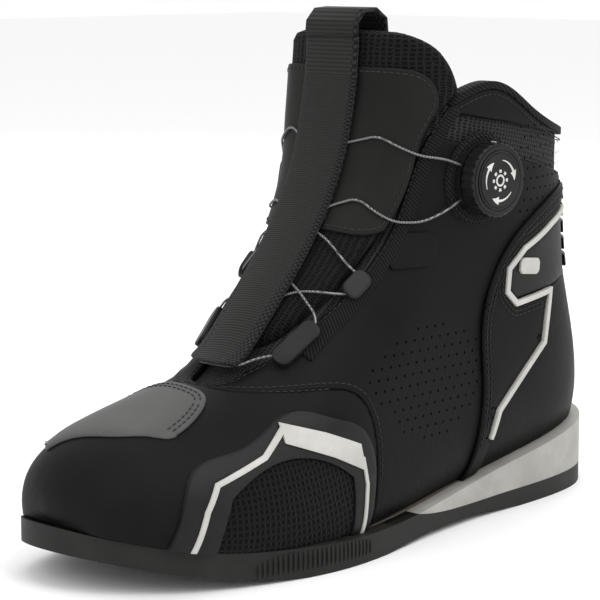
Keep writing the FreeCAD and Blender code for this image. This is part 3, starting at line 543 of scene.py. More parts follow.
def rounded_copy(node, name, edge, segments=2, corner=32.0, merge=0.00002):
    """A CAD node's shape with its points joined and its sharp edges rounded, mapped like the covers."""
    piece = bpy.data.objects.new(name, frame["nodes"][node].data.copy())
    bpy.context.scene.collection.objects.link(piece)
    shape = bmesh.new()
    shape.from_mesh(piece.data)
    bmesh.ops.remove_doubles(shape, verts=shape.verts, dist=merge)
    bmesh.ops.dissolve_degenerate(shape, edges=shape.edges, dist=merge)
    shape.to_mesh(piece.data)
    shape.free()
    if edge:
        bevel = piece.modifiers.new("rounded_edge", "BEVEL")
        bevel.width = edge * MM
        bevel.segments = segments
        bevel.limit_method = "ANGLE"
        bevel.angle_limit = math.radians(corner)
        bevel.harden_normals = False
        bpy.context.view_layer.objects.active = piece
        bpy.ops.object.modifier_apply(modifier=bevel.name)
    places = np.array([v.co / MM for v in piece.data.vertices])
    flat = leg_flat(places, name.startswith("heel"))
    layer = piece.data.uv_layers.active or piece.data.uv_layers.new(name="UVMap")
    for loop in piece.data.loops:
        layer.data[loop.index].uv = flat[loop.vertex_index]
    smooth_by_angle(piece, 34)
    return piece


def moulded_group():
    """Shared effect: fine spark-eroded texture of moulded parts, with scuffs."""
    group = bpy.data.node_groups.new("moulded_texture", "ShaderNodeTree")
    group.interface.new_socket("Grit", in_out="INPUT", socket_type="NodeSocketFloat")
    group.interface.new_socket("Height", in_out="OUTPUT", socket_type="NodeSocketFloat")
    group.interface.new_socket("Scuff", in_out="OUTPUT", socket_type="NodeSocketFloat")
    given = group.nodes.new("NodeGroupInput").outputs["Grit"]
    where = group.nodes.new("ShaderNodeTexCoord").outputs["Object"]
    grit = add(group, "ShaderNodeTexNoise", {"Vector": where, "Scale": given, "Detail": 3.0})
    scuff = add(group, "ShaderNodeTexNoise",
                {"Vector": where, "Scale": 60.0, "Detail": 6.0, "Roughness": 0.65})
    result = group.nodes.new("NodeGroupOutput")
    group.links.new(grit.outputs[0], result.inputs["Height"])
    group.links.new(scuff.outputs[0], result.inputs["Scuff"])
    return group


MOULDED_TEXTURE = moulded_group()


def moulded(name, dark, light, rough=(0.45, 0.6), grit=1600.0, strength=0.35, specular=0.2):
    """Moulded rubber or plastic: two close tones, fine texture, duller where scuffed."""
    made, tree, shader = finish_material(name, 0.5, specular)
    parts = add(tree, "ShaderNodeGroup", node_tree=MOULDED_TEXTURE)
    parts.inputs["Grit"].default_value = grit
    tree.links.new(ramp(tree, parts.outputs["Scuff"], [(0.38, dark), (0.66, light)]),
                   shader.inputs["Base Color"])
    tree.links.new(ramp(tree, parts.outputs["Scuff"], [(0.35, rough[0]), (0.68, rough[1])]),
                   shader.inputs["Roughness"])
    bumped(tree, shader, parts.outputs["Height"], strength, 0.0001)
    return made


SOLE_RUBBER = moulded("sole_rubber", (0.010, 0.0098, 0.0093), (0.018, 0.0175, 0.0165), rough=(0.5, 0.66))
WEDGE_RUBBER = moulded("wedge_rubber", (0.30, 0.293, 0.272), (0.37, 0.36, 0.335), rough=(0.5, 0.62),
                       strength=0.2)
MIDSOLE_FOAM = moulded("midsole_foam", (0.018, 0.018, 0.018), (0.03, 0.03, 0.03), rough=(0.7, 0.8))
ROLL_RADIUS = 4.5
FORE_TREAD_REACH = 42
REAR_TREAD_REACH = 30
TREAD_FRONT = 118
SOLE_NARROWING = 0.35


def rolled_sole(piece, radius):
    """Rolls the lower rim of the sole under, as the mould does."""
    shape = bmesh.new()
    shape.from_mesh(piece.data)
    bmesh.ops.dissolve_limit(shape, angle_limit=math.radians(1.0),
                             verts=shape.verts, edges=shape.edges)
    lower = []
    for edge in shape.edges:
        if len(edge.link_faces) != 2:
            continue
        one, other = (f.normal for f in edge.link_faces)
        wall, under = (one, other) if abs(one.z) < abs(other.z) else (other, one)
        middle = (edge.verts[0].co + edge.verts[1].co) / 2
        outward = wall.dot(Vector((middle.x * SOLE_NARROWING, middle.y, 0)).normalized()) > 0.2
        if abs(wall.z) < 0.35 and under.z < -0.7 and outward and not in_tread(middle):
            lower.append(edge)
    bmesh.ops.bevel(shape, geom=lower, offset=radius * MM, segments=4, profile=0.5, affect="EDGES",
                    offset_type="OFFSET", clamp_overlap=True)
    shape.to_mesh(piece.data)
    shape.free()


def in_tread(place):
    """Whether a place is inside the tread grooves and not on the rim."""
    reach = FORE_TREAD_REACH if place.x > 0 else REAR_TREAD_REACH
    return abs(place.y / MM) < reach and place.x / MM < TREAD_FRONT


sole = rounded_copy("outsole", "outsole_tread", 0.0)
rolled_sole(sole, ROLL_RADIUS)
smooth_by_angle(sole, 30)
dress(sole, SOLE_RUBBER, "boot", "sole_rubber", "outsole")
dress(rounded_copy("midsole", "midsole_core", 0.0), MIDSOLE_FOAM, "boot", "foam_eva", "midsole")
dress(rounded_copy("heel_wedge", "wedge_of_heel", 1.1, 3), WEDGE_RUBBER, "boot", "grip_rubber", "heel_wedge")

# ---------------------------------------------------------------------------
# Gear-shift pad: a toe overlay of dull grey material with fine cross ribs
# towards its rear edge, sewn down with two rows.
PAD_HIDE = leather("pad_hide", (0.070, 0.069, 0.068), (0.092, 0.0905, 0.089), grain=1000.0, strength=0.3,
                   rough=(0.4, 0.55))
RIB_SLANT = 0.55
BAND_SLANT = -0.9


def ribbed_band(material, pitch, rear, width):
    """Adds fine cross ribs to a material behind a line across the toe."""
    tree = material.node_tree
    shader = tree.nodes["Principled BSDF"]
    where = add(tree, "ShaderNodeTexCoord").outputs["Object"]
    parts = add(tree, "ShaderNodeSeparateXYZ", {0: where})
    slant = add(tree, "ShaderNodeMath", {0: parts.outputs["Y"], 1: RIB_SLANT, 2: parts.outputs["X"]},
                operation="MULTIPLY_ADD")
    turn = add(tree, "ShaderNodeMath", {0: slant.outputs[0], 1: 2 * math.pi / (pitch * MM)},
               operation="MULTIPLY")
    rib = add(tree, "ShaderNodeMath", {0: turn.outputs[0]}, operation="SINE")
    band = add(tree, "ShaderNodeMath", {0: parts.outputs["Y"], 1: BAND_SLANT, 2: parts.outputs["X"]},
               operation="MULTIPLY_ADD")
    mask = add(tree, "ShaderNodeMapRange", {"Value": band.outputs[0], "From Min": (rear + width) * MM,
                                            "From Max": rear * MM})
    ribs = add(tree, "ShaderNodeMath", {0: rib.outputs[0], 1: mask.outputs[0]}, operation="MULTIPLY")
    bump = add(tree, "ShaderNodeBump", {"Height": ribs.outputs[0], "Strength": 0.9, "Distance": 0.0003})
    under = shader.inputs["Normal"].links[0].from_node
    tree.links.new(bump.outputs["Normal"], under.inputs["Normal"])


ribbed_band(PAD_HIDE, pitch=1.7, rear=68.0, width=6.0)
PAD_ROWS = (2.2, 4.4)
pad, SKINS["shift_pad"] = cover("gear_shift_pad", "shift_pad", 1.2, edge=0.6, seams=PAD_ROWS, toe=True,
                                step=1.5)
dress(pad, PAD_HIDE, "boot", "grip_rubber", "shift_pad")

# ---------------------------------------------------------------------------
# Forefoot armour on each side: a moulded frame, an air-mesh window inside it
# and a raised white stripe, welded to the hide.
PLATE_TPU = moulded("plate_tpu", (0.005, 0.005, 0.005), (0.011, 0.011, 0.011), rough=(0.42, 0.55))
STRIPE_TPU = moulded("stripe_tpu", (0.42, 0.41, 0.385), (0.50, 0.49, 0.46), rough=(0.42, 0.55), strength=0.15)


def mesh_cells_group():
    """Shared effect: open knitted cells with a thread between them, in flattened millimetres."""
    group = bpy.data.node_groups.new("mesh_cells", "ShaderNodeTree")
    group.interface.new_socket("Cells", in_out="INPUT", socket_type="NodeSocketFloat")
    group.interface.new_socket("Height", in_out="OUTPUT", socket_type="NodeSocketFloat")
    group.interface.new_socket("Thread", in_out="OUTPUT", socket_type="NodeSocketFloat")
    given = group.nodes.new("NodeGroupInput").outputs["Cells"]
    where = group.nodes.new("ShaderNodeTexCoord").outputs["UV"]
    cell = add(group, "ShaderNodeTexVoronoi", {"Vector": where, "Scale": given, "Randomness": 0.25},
               feature="DISTANCE_TO_EDGE")
    yarn_scale = add(group, "ShaderNodeMath", {0: given, 1: 6.0}, operation="MULTIPLY")
    yarn = add(group, "ShaderNodeTexNoise", {"Vector": where, "Scale": yarn_scale.outputs[0], "Detail": 2.0})
    wall = add(group, "ShaderNodeMapRange", {"Value": cell.outputs[0], "From Min": 0.05, "From Max": 0.3,
                                             "To Min": 1.0, "To Max": 0.0})
    raised = add(group, "ShaderNodeMath", {0: yarn.outputs[0], 1: 0.35, 2: wall.outputs[0]},
                 operation="MULTIPLY_ADD")
    result = group.nodes.new("NodeGroupOutput")
    group.links.new(raised.outputs[0], result.inputs["Height"])
    group.links.new(wall.outputs[0], result.inputs["Thread"])
    return group


MESH_CELLS = mesh_cells_group()


def air_mesh(name, cells, hole, thread, depth=0.0006):
    """Spacer fabric: matt threads round open cells, the cells painted near black as painted shade in their
    hollows.
    """
    made, tree, shader = finish_material(name, 0.85, 0.1, sheen=0.03)
    parts = add(tree, "ShaderNodeGroup", node_tree=MESH_CELLS)
    parts.inputs["Cells"].default_value = cells
    # Painted shade: the hole colour darkens the open cells between the threads, where shade falls.
    tree.links.new(ramp(tree, parts.outputs["Thread"], [(0.2, hole), (0.8, thread)]),
                   shader.inputs["Base Color"])
    bumped(tree, shader, parts.outputs["Height"], 0.9, depth)
    return made


WINDOW_MESH = air_mesh("window_mesh", 0.42, (0.0008, 0.0008, 0.0008), (0.006, 0.006, 0.006))
for side, label in (("lateral", "outer"), ("medial", "inner")):
    frame_piece = rounded_copy(f"side_panel_{side}", f"forefoot_frame_{label}", 0.5)
    dress(frame_piece, PLATE_TPU, "boot", "moulded_tpu", f"side_panel_{side}")
    window = cover(f"forefoot_window_{label}", f"side_mesh_{side}", 0.7, edge=0.3, step=2.0)[0]
    dress(window, WINDOW_MESH, "boot", "air_mesh", f"side_mesh_{side}")
    stripe = rounded_copy(f"side_stripe_{side}", f"forefoot_stripe_{label}", 0.35)
    dress(stripe, STRIPE_TPU, "boot", "white_tpu", f"side_stripe_{side}")

# ---------------------------------------------------------------------------
# Ankle armour on each side: a moulded plate that runs from the heel to the
# ankle, a white stripe let into it, a dark inset and, outside, a small badge.
PLATE_ROWS = (2.2, 4.2)
for side, label in (("lateral", "outer"), ("medial", "inner")):
    plate, SKINS[f"plate_{label}"] = cover(f"ankle_plate_{label}", f"ankle_plate_{side}", 1.8, edge=0.8,
                                           seams=PLATE_ROWS, step=1.6)
    dress(plate, BLACK_HIDE, "boot", "moulded_tpu", f"ankle_plate_{side}")
    dress(rounded_copy(f"ankle_stripe_{side}", f"heel_stripe_{label}", 0.35), STRIPE_TPU, "boot", "white_tpu",
          f"ankle_stripe_{side}")
    dress(rounded_copy(f"ankle_inset_{side}", f"ankle_guard_{label}", 0.4), PLATE_TPU, "boot", "moulded_tpu",
          f"ankle_inset_{side}")
dress(rounded_copy("ankle_badge", "ankle_badge_plate", 0.4), STRIPE_TPU, "boot", "white_tpu", "ankle_badge")
dress(rounded_copy("flex_ribs", "heel_flex_ribs", 0.8, 3), PLATE_TPU, "boot", "moulded_tpu", "flex_ribs")

# ---------------------------------------------------------------------------
# Tongue: a padded leaf of spacer mesh, soft at its edges, with two thin hide
# facings sewn to its face, one on each side of the strap.
TONGUE_MESH = air_mesh("tongue_mesh", 0.55, (0.0010, 0.0010, 0.0010), (0.009, 0.009, 0.009))
tongue = cover("tongue_padding", "tongue_pad", 6.5, edge=3.4, step=2.0, puff=0.3)[0]
dress(tongue, TONGUE_MESH, "tongue", "air_mesh", "tongue_pad")
FACING_HIDE = leather("facing_hide", (0.008, 0.0078, 0.0074), (0.0135, 0.013, 0.0122), grain=1100.0,
                      strength=0.3, rough=(0.42, 0.56))
for side, label in (("lateral", "outer"), ("medial", "inner")):
    face, SKINS[f"facing_{label}"] = cover(f"tongue_face_{label}", f"tongue_facing_{side}", 1.1, edge=0.6,
                                           seams=(2.0,), step=1.5)
    dress(face, FACING_HIDE, "tongue", "facing_leather", f"tongue_facing_{side}")

# ---------------------------------------------------------------------------
# Pull strap: one length of ribbed webbing with herringbone edges, sewn down
# the middle of the tongue and folded into a loop over its top.
def webbing_material(name, centre, width, dark, light):
    """Woven tape: cross ribs in the middle and a checked weave along both edges."""
    made, tree, shader = finish_material(name, 0.78, 0.15, sheen=0.06)
    where = add(tree, "ShaderNodeTexCoord").outputs["UV"]
    parts = add(tree, "ShaderNodeSeparateXYZ", {0: where})
    off = add(tree, "ShaderNodeMath", {0: parts.outputs["Y"], 1: centre}, operation="SUBTRACT")
    side = add(tree, "ShaderNodeMath", {0: off.outputs[0]}, operation="ABSOLUTE")
    edge = add(tree, "ShaderNodeMath", {0: side.outputs[0], 1: width * 0.27}, operation="GREATER_THAN")
    waves = []
    for axis, pitch in (("X", 1.7), ("X", 3.2), ("Y", 1.9)):
        turn = add(tree, "ShaderNodeMath", {0: parts.outputs[axis], 1: 2 * math.pi / pitch},
                   operation="MULTIPLY")
        waves.append(add(tree, "ShaderNodeMath", {0: turn.outputs[0]}, operation="SINE").outputs[0])
    check = add(tree, "ShaderNodeMath", {0: waves[1], 1: waves[2]}, operation="MULTIPLY")
    rib = add(tree, "ShaderNodeMapRange", {"Value": waves[0], "From Min": -1.0, "To Min": 0.35})
    knot = add(tree, "ShaderNodeMapRange", {"Value": check.outputs[0], "From Min": -0.35, "From Max": 0.5,
                                            "To Min": 0.0, "To Max": 0.9})
    level = add(tree, "ShaderNodeMix", {0: edge.outputs[0], 2: rib.outputs[0], 3: knot.outputs[0]})
    fuzz = add(tree, "ShaderNodeTexNoise", {"Vector": where, "Scale": 2.2, "Detail": 4.0})
    soft = add(tree, "ShaderNodeMath", {0: fuzz.outputs[0], 1: 0.3, 2: level.outputs[0]},
               operation="MULTIPLY_ADD")
    tree.links.new(ramp(tree, soft.outputs[0], [(0.25, dark), (1.1, light)]), shader.inputs["Base Color"])
    bumped(tree, shader, soft.outputs[0], 0.8, 0.0004)
    return made


WEBBING = webbing_material("strap_webbing", CORE_Y - 0.7, 29.0, (0.002, 0.002, 0.002), (0.019, 0.019, 0.018))
strap = cover("pull_strap", "tongue_strap", 1.4, edge=0.5, step=1.6)[0]
dress(strap, WEBBING, "tongue", "webbing", "tongue_strap")
fold = rounded_copy("tongue_strap_fold", "pull_strap_fold", 0.4)
dress(fold, WEBBING, "tongue", "webbing", "tongue_strap_fold")

# ---------------------------------------------------------------------------
# Bindings and gussets: knitted tape over the collar rim and both eyestays, a
# pull loop at the back, the hide tab where the lace comes out, and a mesh
# gusset on each side that is sewn to the shell and to the tongue.
def tape_material(name, pitch, dark, light):
    """Fine knitted tape: ribs across it."""
    made, tree, shader = finish_material(name, 0.85, 0.1, sheen=0.04)
    where = add(tree, "ShaderNodeTexCoord").outputs["UV"]
    wave = add(tree, "ShaderNodeTexWave", {"Vector": where, "Scale": 1.0 / pitch / 3.2, "Distortion": 0.6,
                                           "Detail": 2.0}, bands_direction="DIAGONAL")
    tree.links.new(ramp(tree, wave.outputs["Fac"], [(0.2, dark), (0.8, light)]), shader.inputs["Base Color"])
    bumped(tree, shader, wave.outputs["Fac"], 0.8, 0.0003)
    return made


BINDING_TAPE = tape_material("binding_tape", 1.1, (0.002, 0.002, 0.002), (0.011, 0.011, 0.011))
for node, name in (
    ("collar_binding", "heel_collar_tape"),
    ("throat_binding_lateral", "eyestay_tape_outer"),
    ("throat_binding_medial", "eyestay_tape_inner"),
    ("heel_pull_loop", "heel_pull_tape"),
    ("dial_flange", "dial_seat"),
):
    dress(rounded_copy(node, name, 0.5), BINDING_TAPE, "boot", "black_textile", node)
dress(rounded_copy("lace_tab", "lace_exit_tab", 0.35), BLACK_HIDE, "boot", "leather", "lace_tab")


def dress_across(piece, material, node):
    """Gives a piece its material, bakes its place into its shape without a parent, and hides the CAD node it
    stands for.
    """
    piece.data.materials.clear()
    piece.data.materials.append(material)
    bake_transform(piece)
    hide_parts(node)


for side, label in (("lateral", "outer"), ("medial", "inner")):
    gusset = rounded_copy(f"tongue_gusset_{side}", f"gusset_{label}", 0.0)
    dress_across(gusset, TONGUE_MESH, f"tongue_gusset_{side}")

# ---------------------------------------------------------------------------
# Inside of the shaft: foam collar, mesh lining, footbed, and the stiffeners
# and boards that the hide covers.
LINING_MESH = air_mesh("lining_mesh", 0.55, (0.006, 0.006, 0.006), (0.03, 0.03, 0.03), 0.0003)
dress(rounded_copy("liner", "lining_sock", 0.0), LINING_MESH, "boot", "lining_textile", "liner")
collar = rounded_copy("collar_foam", "collar_padding", 1.0)
dress(collar, LINING_MESH, "boot", "foam_eva", "collar_foam")
dress(rounded_copy("footbed", "footbed_cushion", 1.0), LINING_MESH, "boot", "foam_eva", "footbed")
BOARD_FIBRE = moulded("board_fibre", (0.12, 0.10, 0.08), (0.16, 0.135, 0.105), rough=(0.75, 0.85))


def repaint(material, *nodes):
    """Gives CAD nodes that stay as they are a new material."""
    for node in nodes:
        for place in frame["nodes"][node].material_slots:
            place.material = material


repaint(BOARD_FIBRE, "insole_board", "heel_stiffener", "toe_puff", "ankle_cup_lateral", "ankle_cup_medial")

# ---------------------------------------------------------------------------
# Closure hardware: dial housing, ratchet, spool, knob and cap, screw, shank
# and the lace guides.
DIAL_BLACK = moulded("dial_black", (0.006, 0.006, 0.006), (0.012, 0.012, 0.012), rough=(0.32, 0.45),
                     strength=0.2)
BRIGHT_STEEL, steel_tree, steel_shader = finish_material("bright_steel", 0.28, 0.5, metallic=1.0)
steel_place = add(steel_tree, "ShaderNodeTexCoord").outputs["Object"]
brushed = add(steel_tree, "ShaderNodeTexNoise", {"Vector": steel_place, "Scale": 900.0, "Detail": 3.0})
steel_tone = ramp(steel_tree, brushed.outputs[0], [(0.3, (0.42, 0.42, 0.43)), (0.7, (0.6, 0.6, 0.6))])
steel_gloss = ramp(steel_tree, brushed.outputs[0], [(0.3, 0.22), (0.7, 0.38)])
steel_tree.links.new(steel_tone, steel_shader.inputs["Base Color"])
steel_tree.links.new(steel_gloss, steel_shader.inputs["Roughness"])
repaint(DIAL_BLACK, "dial_base", "dial_ratchet_ring", "dial_spool", "dial_knob", "dial_pawl", "dial_cap")
repaint(BRIGHT_STEEL, "dial_screw", "shank")
for node, name in (
    ("lace_guide_middle_lateral", "guide_middle_outer"),
    ("lace_guide_lower_lateral", "guide_lower_outer"),
    ("lace_guide_upper_medial", "guide_upper_inner"),
    ("lace_guide_middle_medial", "guide_middle_inner"),
    ("lace_guide_lower_medial", "guide_lower_inner"),
):
    dress(rounded_copy(node, name, 0.35), DIAL_BLACK, "boot", "moulded_tpu", node)

# ---------------------------------------------------------------------------
# Lace: one length of stranded steel wire, 1 mm thick, cut into four runs at the
# split height and the strap middle; no run is held by a body.
WIRE, wire_tree, wire_shader = finish_material("lace_wire", 0.42, 0.5, metallic=0.6)
wire_place = add(wire_tree, "ShaderNodeTexCoord").outputs["Object"]
strand = add(wire_tree, "ShaderNodeTexWave", {"Vector": wire_place, "Scale": 900.0},
             bands_direction="DIAGONAL")
wire_tone = ramp(wire_tree, strand.outputs["Fac"], [(0.2, (0.06, 0.06, 0.06)), (0.8, (0.24, 0.24, 0.24))])
wire_tree.links.new(wire_tone, wire_shader.inputs["Base Color"])
bumped(wire_tree, wire_shader, strand.outputs["Fac"], 0.6, 0.00015)
STRAP_MIDDLE = CORE_Y - 3.0
SPAN_SPLIT = 120.0


def lace_part(name, high, outer):
    """One run of wire, cut from the CAD lace above or below the split height and on the outer or inner side
    of the strap middle."""
    shape = bmesh.new()
    shape.from_mesh(frame["nodes"]["lace"].data)
    bmesh.ops.remove_doubles(shape, verts=shape.verts, dist=0.000005)
    for place, way in (
        (Vector((0, 0, SPAN_SPLIT * MM)), Vector((0, 0, -1 if high else 1))),
        (Vector((0, STRAP_MIDDLE * MM, 0)), Vector((0, -1 if outer else 1, 0))),
    ):
        every = shape.verts[:] + shape.edges[:] + shape.faces[:]
        bmesh.ops.bisect_plane(shape, geom=every, plane_co=place, plane_no=way, clear_outer=True)
    bmesh.ops.holes_fill(shape, edges=shape.edges[:], sides=0)
    bmesh.ops.scale(shape, vec=IN_MM, verts=shape.verts)
    piece = new_piece(name, shape)
    for face in piece.data.polygons:
        face.use_smooth = True
    dress_across(piece, WIRE, "lace")


lace_part("lace_upper_outer", True, True)
lace_part("lace_upper_inner", True, False)
lace_part("lace_lower_outer", False, True)
lace_part("lace_lower_inner", False, False)

# ---------------------------------------------------------------------------
# Sewing: heavy bonded thread, lock-stitched about three millimetres apart
# along the edges of the sewn pieces; each stitch dives into the hide at its ends.
THREAD = moulded("sewing_thread", (0.012, 0.012, 0.012), (0.03, 0.03, 0.03), rough=(0.5, 0.65), grit=2600.0)
STITCH_PITCH = 2.9
STITCH_LENGTH = 2.3
STITCH_WIDTH = 0.55


def stitch_line(shape, points, normals, pitch=STITCH_PITCH, length=STITCH_LENGTH, width=STITCH_WIDTH):
    """Adds one stitch after another along a line on a face."""
    steps = np.linalg.norm(np.diff(points, axis=0), axis=1)
    reach = np.concatenate([[0], np.cumsum(steps)])
    for k in range(int(reach[-1] / pitch)):
        middle = (k + 0.5) * pitch
        ends = [np.array([np.interp(middle + d, reach, points[:, i]) for i in range(3)])
                for d in (-length / 2, 0.0, length / 2)]
        normal = Vector([np.interp(middle, reach, normals[:, i]) for i in range(3)]).normalized()
        along = Vector(ends[2] - ends[0]).normalized()
        across = along.cross(normal)
        rings = []
        for place, rise, size in ((ends[0], -0.18, 0.35), (ends[0] * 0.7 + ends[1] * 0.3, 0.10, 0.9),
                                  (ends[1], 0.20, 1.0), (ends[2] * 0.7 + ends[1] * 0.3, 0.10, 0.9),
                                  (ends[2], -0.18, 0.35)):
            ring = []
            for turn in range(6):
                a = turn * math.pi / 3
                off = across * math.cos(a) * width * 0.5 * size + normal * math.sin(a) * width * 0.38 * size
                ring.append(shape.verts.new(Vector(place) + normal * rise + off))
            rings.append(ring)
        for a, b in zip(rings, rings[1:]):
            for i in range(6):
                j = (i + 1) % 6
                shape.faces.new((a[i], a[j], b[j], b[i]))
        shape.faces.new(rings[0][::-1])
        shape.faces.new(rings[-1])


def sew(name, skin, depths, body, slot="black_textile", where=None, lift=0.0):
    """Stitch rows at set depths inside the rims of a laid piece, where a test allows them."""
    shape = bmesh.new()
    for depth in depths:
        for rim in skin.rims:
            run = []
            line = inset_line(skin, rim, depth)
            for p in [*line, line[0]]:
                if p is not None and (where is None or where(p)):
                    run.append(p)
                    continue
                if len(run) > 4:
                    finish_run(shape, skin, run, lift)
                run = []
            if len(run) > 4:
                finish_run(shape, skin, run, lift)
    bmesh.ops.recalc_face_normals(shape, faces=shape.faces)
    piece = new_piece(name, shape)
    for face in piece.data.polygons:
        face.use_smooth = True
    dress(piece, THREAD, body, slot)
    return piece


def finish_run(shape, skin, run, lift):
    """Sews one unbroken run of line, a little above the pressed row."""
    run = np.array(run)
    smooth = run.copy()
    smooth[1:-1] = (run[:-2] + run[1:-1] * 2 + run[2:]) / 4
    normals = np.array([skin.near(p)[1] for p in smooth])
    stitch_line(shape, smooth + normals * (lift - 0.06), normals)


sew("shift_pad_stitches", SKINS["shift_pad"], PAD_ROWS, "boot")
for label in ("outer", "inner"):
    sew(f"ankle_plate_stitches_{label}", SKINS[f"plate_{label}"], PLATE_ROWS, "boot",
        where=lambda p: p[0] < -40 and p[2] > 30)
    sew(f"tongue_face_stitches_{label}", SKINS[f"facing_{label}"], (2.0,), "tongue")
for side, label in (("lateral", "outer"), ("medial", "inner")):
    sew(f"quarter_stitches_{label}", SKINS[f"quarter_{side}"], (HIDE_ROW,), "boot", where=lambda p: p[2] > 30)
sew("vamp_stitches", SKINS["vamp"], (HIDE_ROW,), "boot", where=lambda p: p[2] > 32 and p[0] < 78)
sew("rear_flex_stitches", SKINS["rear_flex_panel"], (HIDE_ROW,), "boot")

# ---------------------------------------------------------------------------
# Vent holes: small punched holes in the hide, an even field behind the dial
# and another on the side of the instep, on each side of the boot.
# Painted shade: the near-black colour of the hole discs stands in for the shade inside each punched hole.
HOLE_PAINTED_SHADE, hole_tree, hole_shader = finish_material("hole_painted_shade", 0.95, 0.05)
hole_noise = add(hole_tree, "ShaderNodeTexNoise", {
    "Vector": add(hole_tree, "ShaderNodeTexCoord").outputs["Object"], "Scale": 700.0})
hole_tree.links.new(ramp(hole_tree, hole_noise.outputs[0], [(0.3, 0.0005), (0.7, 0.002)]),
                    hole_shader.inputs["Base Color"])
HOLE_PITCH = 5.2
HOLE_SIZE = 0.62
HOLE_SIDES = 10
ROW_SHARE = 0.866
OUTSIDE = 120
# The two fields in the side view, before the boot is centred over its origin.
REAR_FIELD = [(-63, 170), (-63, 122), (-76, 126), (-100, 136), (-108, 142), (-112, 168), (-96, 172)]
SIDE_FIELD = [(33, 70), (7, 86), (-11, 91), (-52, 76), (-34, 50), (-14, 38), (8, 44)]


def vent_holes(name, skin, fields, side):
    """A slightly dished disc on the hide for each hole of the fields, painted near black as painted shade
    inside the hole.
    """
    shape = bmesh.new()
    for field in fields:
        ring = [np.array([(x + SHIFT_X, z) for x, z in field])]
        low, high = ring[0].min(axis=0), ring[0].max(axis=0)
        for j in range(int((high[1] - low[1]) / (HOLE_PITCH * ROW_SHARE)) + 1):
            for i in range(int((high[0] - low[0]) / HOLE_PITCH) + 1):
                x = low[0] + (i + 0.5 * (j % 2)) * HOLE_PITCH
                z = low[1] + j * HOLE_PITCH * ROW_SHARE
                if not inside(np.array([(x, z)]), ring)[0]:
                    continue
                start = Vector((x, side * OUTSIDE, z))
                place, normal = skin.tree.ray_cast(start, Vector((0, -side, 0)))[:2]
                if place is None:
                    continue
                across = normal.cross(Vector((0, 0, 1))).normalized()
                upward = across.cross(normal)
                rings = []
                for size, rise in ((1.0, 0.035), (0.8, 0.05), (0.5, 0.045)):
                    lip = []
                    for k in range(HOLE_SIDES):
                        turn = k * math.pi / 5
                        out = (across * math.cos(turn) + upward * math.sin(turn)) * HOLE_SIZE * size
                        lip.append(shape.verts.new(place + normal * rise + out))
                    rings.append(lip)
                for a, b in zip(rings, rings[1:]):
                    for k in range(HOLE_SIDES):
                        after = (k + 1) % HOLE_SIDES
                        shape.faces.new((a[k], a[after], b[after], b[k]))
                shape.faces.new(rings[-1])
    bmesh.ops.recalc_face_normals(shape, faces=shape.faces)
    dress(new_piece(name, shape), HOLE_PAINTED_SHADE, "boot", "leather")


vent_holes("vent_holes_outer", SKINS["quarter_lateral"], (REAR_FIELD, SIDE_FIELD), 1)
vent_holes("vent_holes_inner", SKINS["quarter_medial"], (REAR_FIELD, SIDE_FIELD), -1)

# ---------------------------------------------------------------------------
# Dial face: a recessed dark disc in a scalloped rim, with three arrows that
# show which way it tightens and a ring of dots round a hub, pad-printed white.
SPIN = next(joint for joint in frame["joints"] if joint["name"] == "spool_turn")
DIAL_ORIGIN = Vector(SPIN["pos_m"]) / MM
DIAL_AXIS = Vector(SPIN["axis"]).normalized()
DIAL_UP = Vector((0, 0, 1))
DIAL_SIDE = DIAL_AXIS.cross(DIAL_UP)
KNOB_TOP = 11.0
CAP_TOP = 11.8
PRINT_LOW = CAP_TOP - 0.1
PRINT_HIGH = CAP_TOP + 0.12
PRINT_WHITE = moulded("print_white", (0.5, 0.5, 0.48), (0.62, 0.62, 0.6), rough=(0.5, 0.6), strength=0.05)


def dial_spot(radius, angle, height):
    """A place on the dial: radius, angle from the top towards the toe, height along its axis."""
    flat = DIAL_UP * math.cos(angle) - DIAL_SIDE * math.sin(angle)
    return DIAL_ORIGIN + flat * radius + DIAL_AXIS * height


def four_sided(shape, rows):
    """A closed bar through rows of four points."""
    for p, q in zip(rows, rows[1:]):
        for i in range(4):
            shape.faces.new((p[i], p[(i + 1) % 4], q[(i + 1) % 4], q[i]))
    shape.faces.new(rows[0][::-1])
    shape.faces.new(rows[-1])


def dial_strip(shape, inner, outer, start, end, low, high, count=14):
    """A raised strip between two radii and two angles; radii may be pairs for its two ends."""
    inner = inner if isinstance(inner, tuple) else (inner, inner)
    outer = outer if isinstance(outer, tuple) else (outer, outer)
    rows = []
    for k in range(count + 1):
        share = k / count
        angle = start + (end - start) * share
        a = inner[0] + (inner[1] - inner[0]) * share
        b = outer[0] + (outer[1] - outer[0]) * share
        corners = ((a, low), (a, high), (b, high), (b, low))
        rows.append([shape.verts.new(dial_spot(r, angle, h)) for r, h in corners])
    four_sided(shape, rows)


arrows = bmesh.new()
for k in range(3):
    tail = math.radians(120 * k + 8)
    neck = math.radians(120 * k + 66)
    tip = math.radians(120 * k + 92)
    dial_strip(arrows, (8.25, 7.9), (8.55, 9.0), tail, neck, PRINT_LOW, PRINT_HIGH)
    dial_strip(arrows, (6.7, 8.4), (10.1, 8.6), neck, tip, PRINT_LOW, PRINT_HIGH, 8)
for k in range(8):
    middle = math.radians(45 * k)
    dial_strip(arrows, 3.3, 4.5, middle - 0.17, middle + 0.17, PRINT_LOW, PRINT_HIGH, 4)
dial_strip(arrows, 1.7, 2.5, 0, 2 * math.pi - 0.001, PRINT_LOW, PRINT_HIGH, 28)
bmesh.ops.recalc_face_normals(arrows, faces=arrows.faces)
dress(new_piece("dial_arrows", arrows), PRINT_WHITE, "knob", "white_tpu")

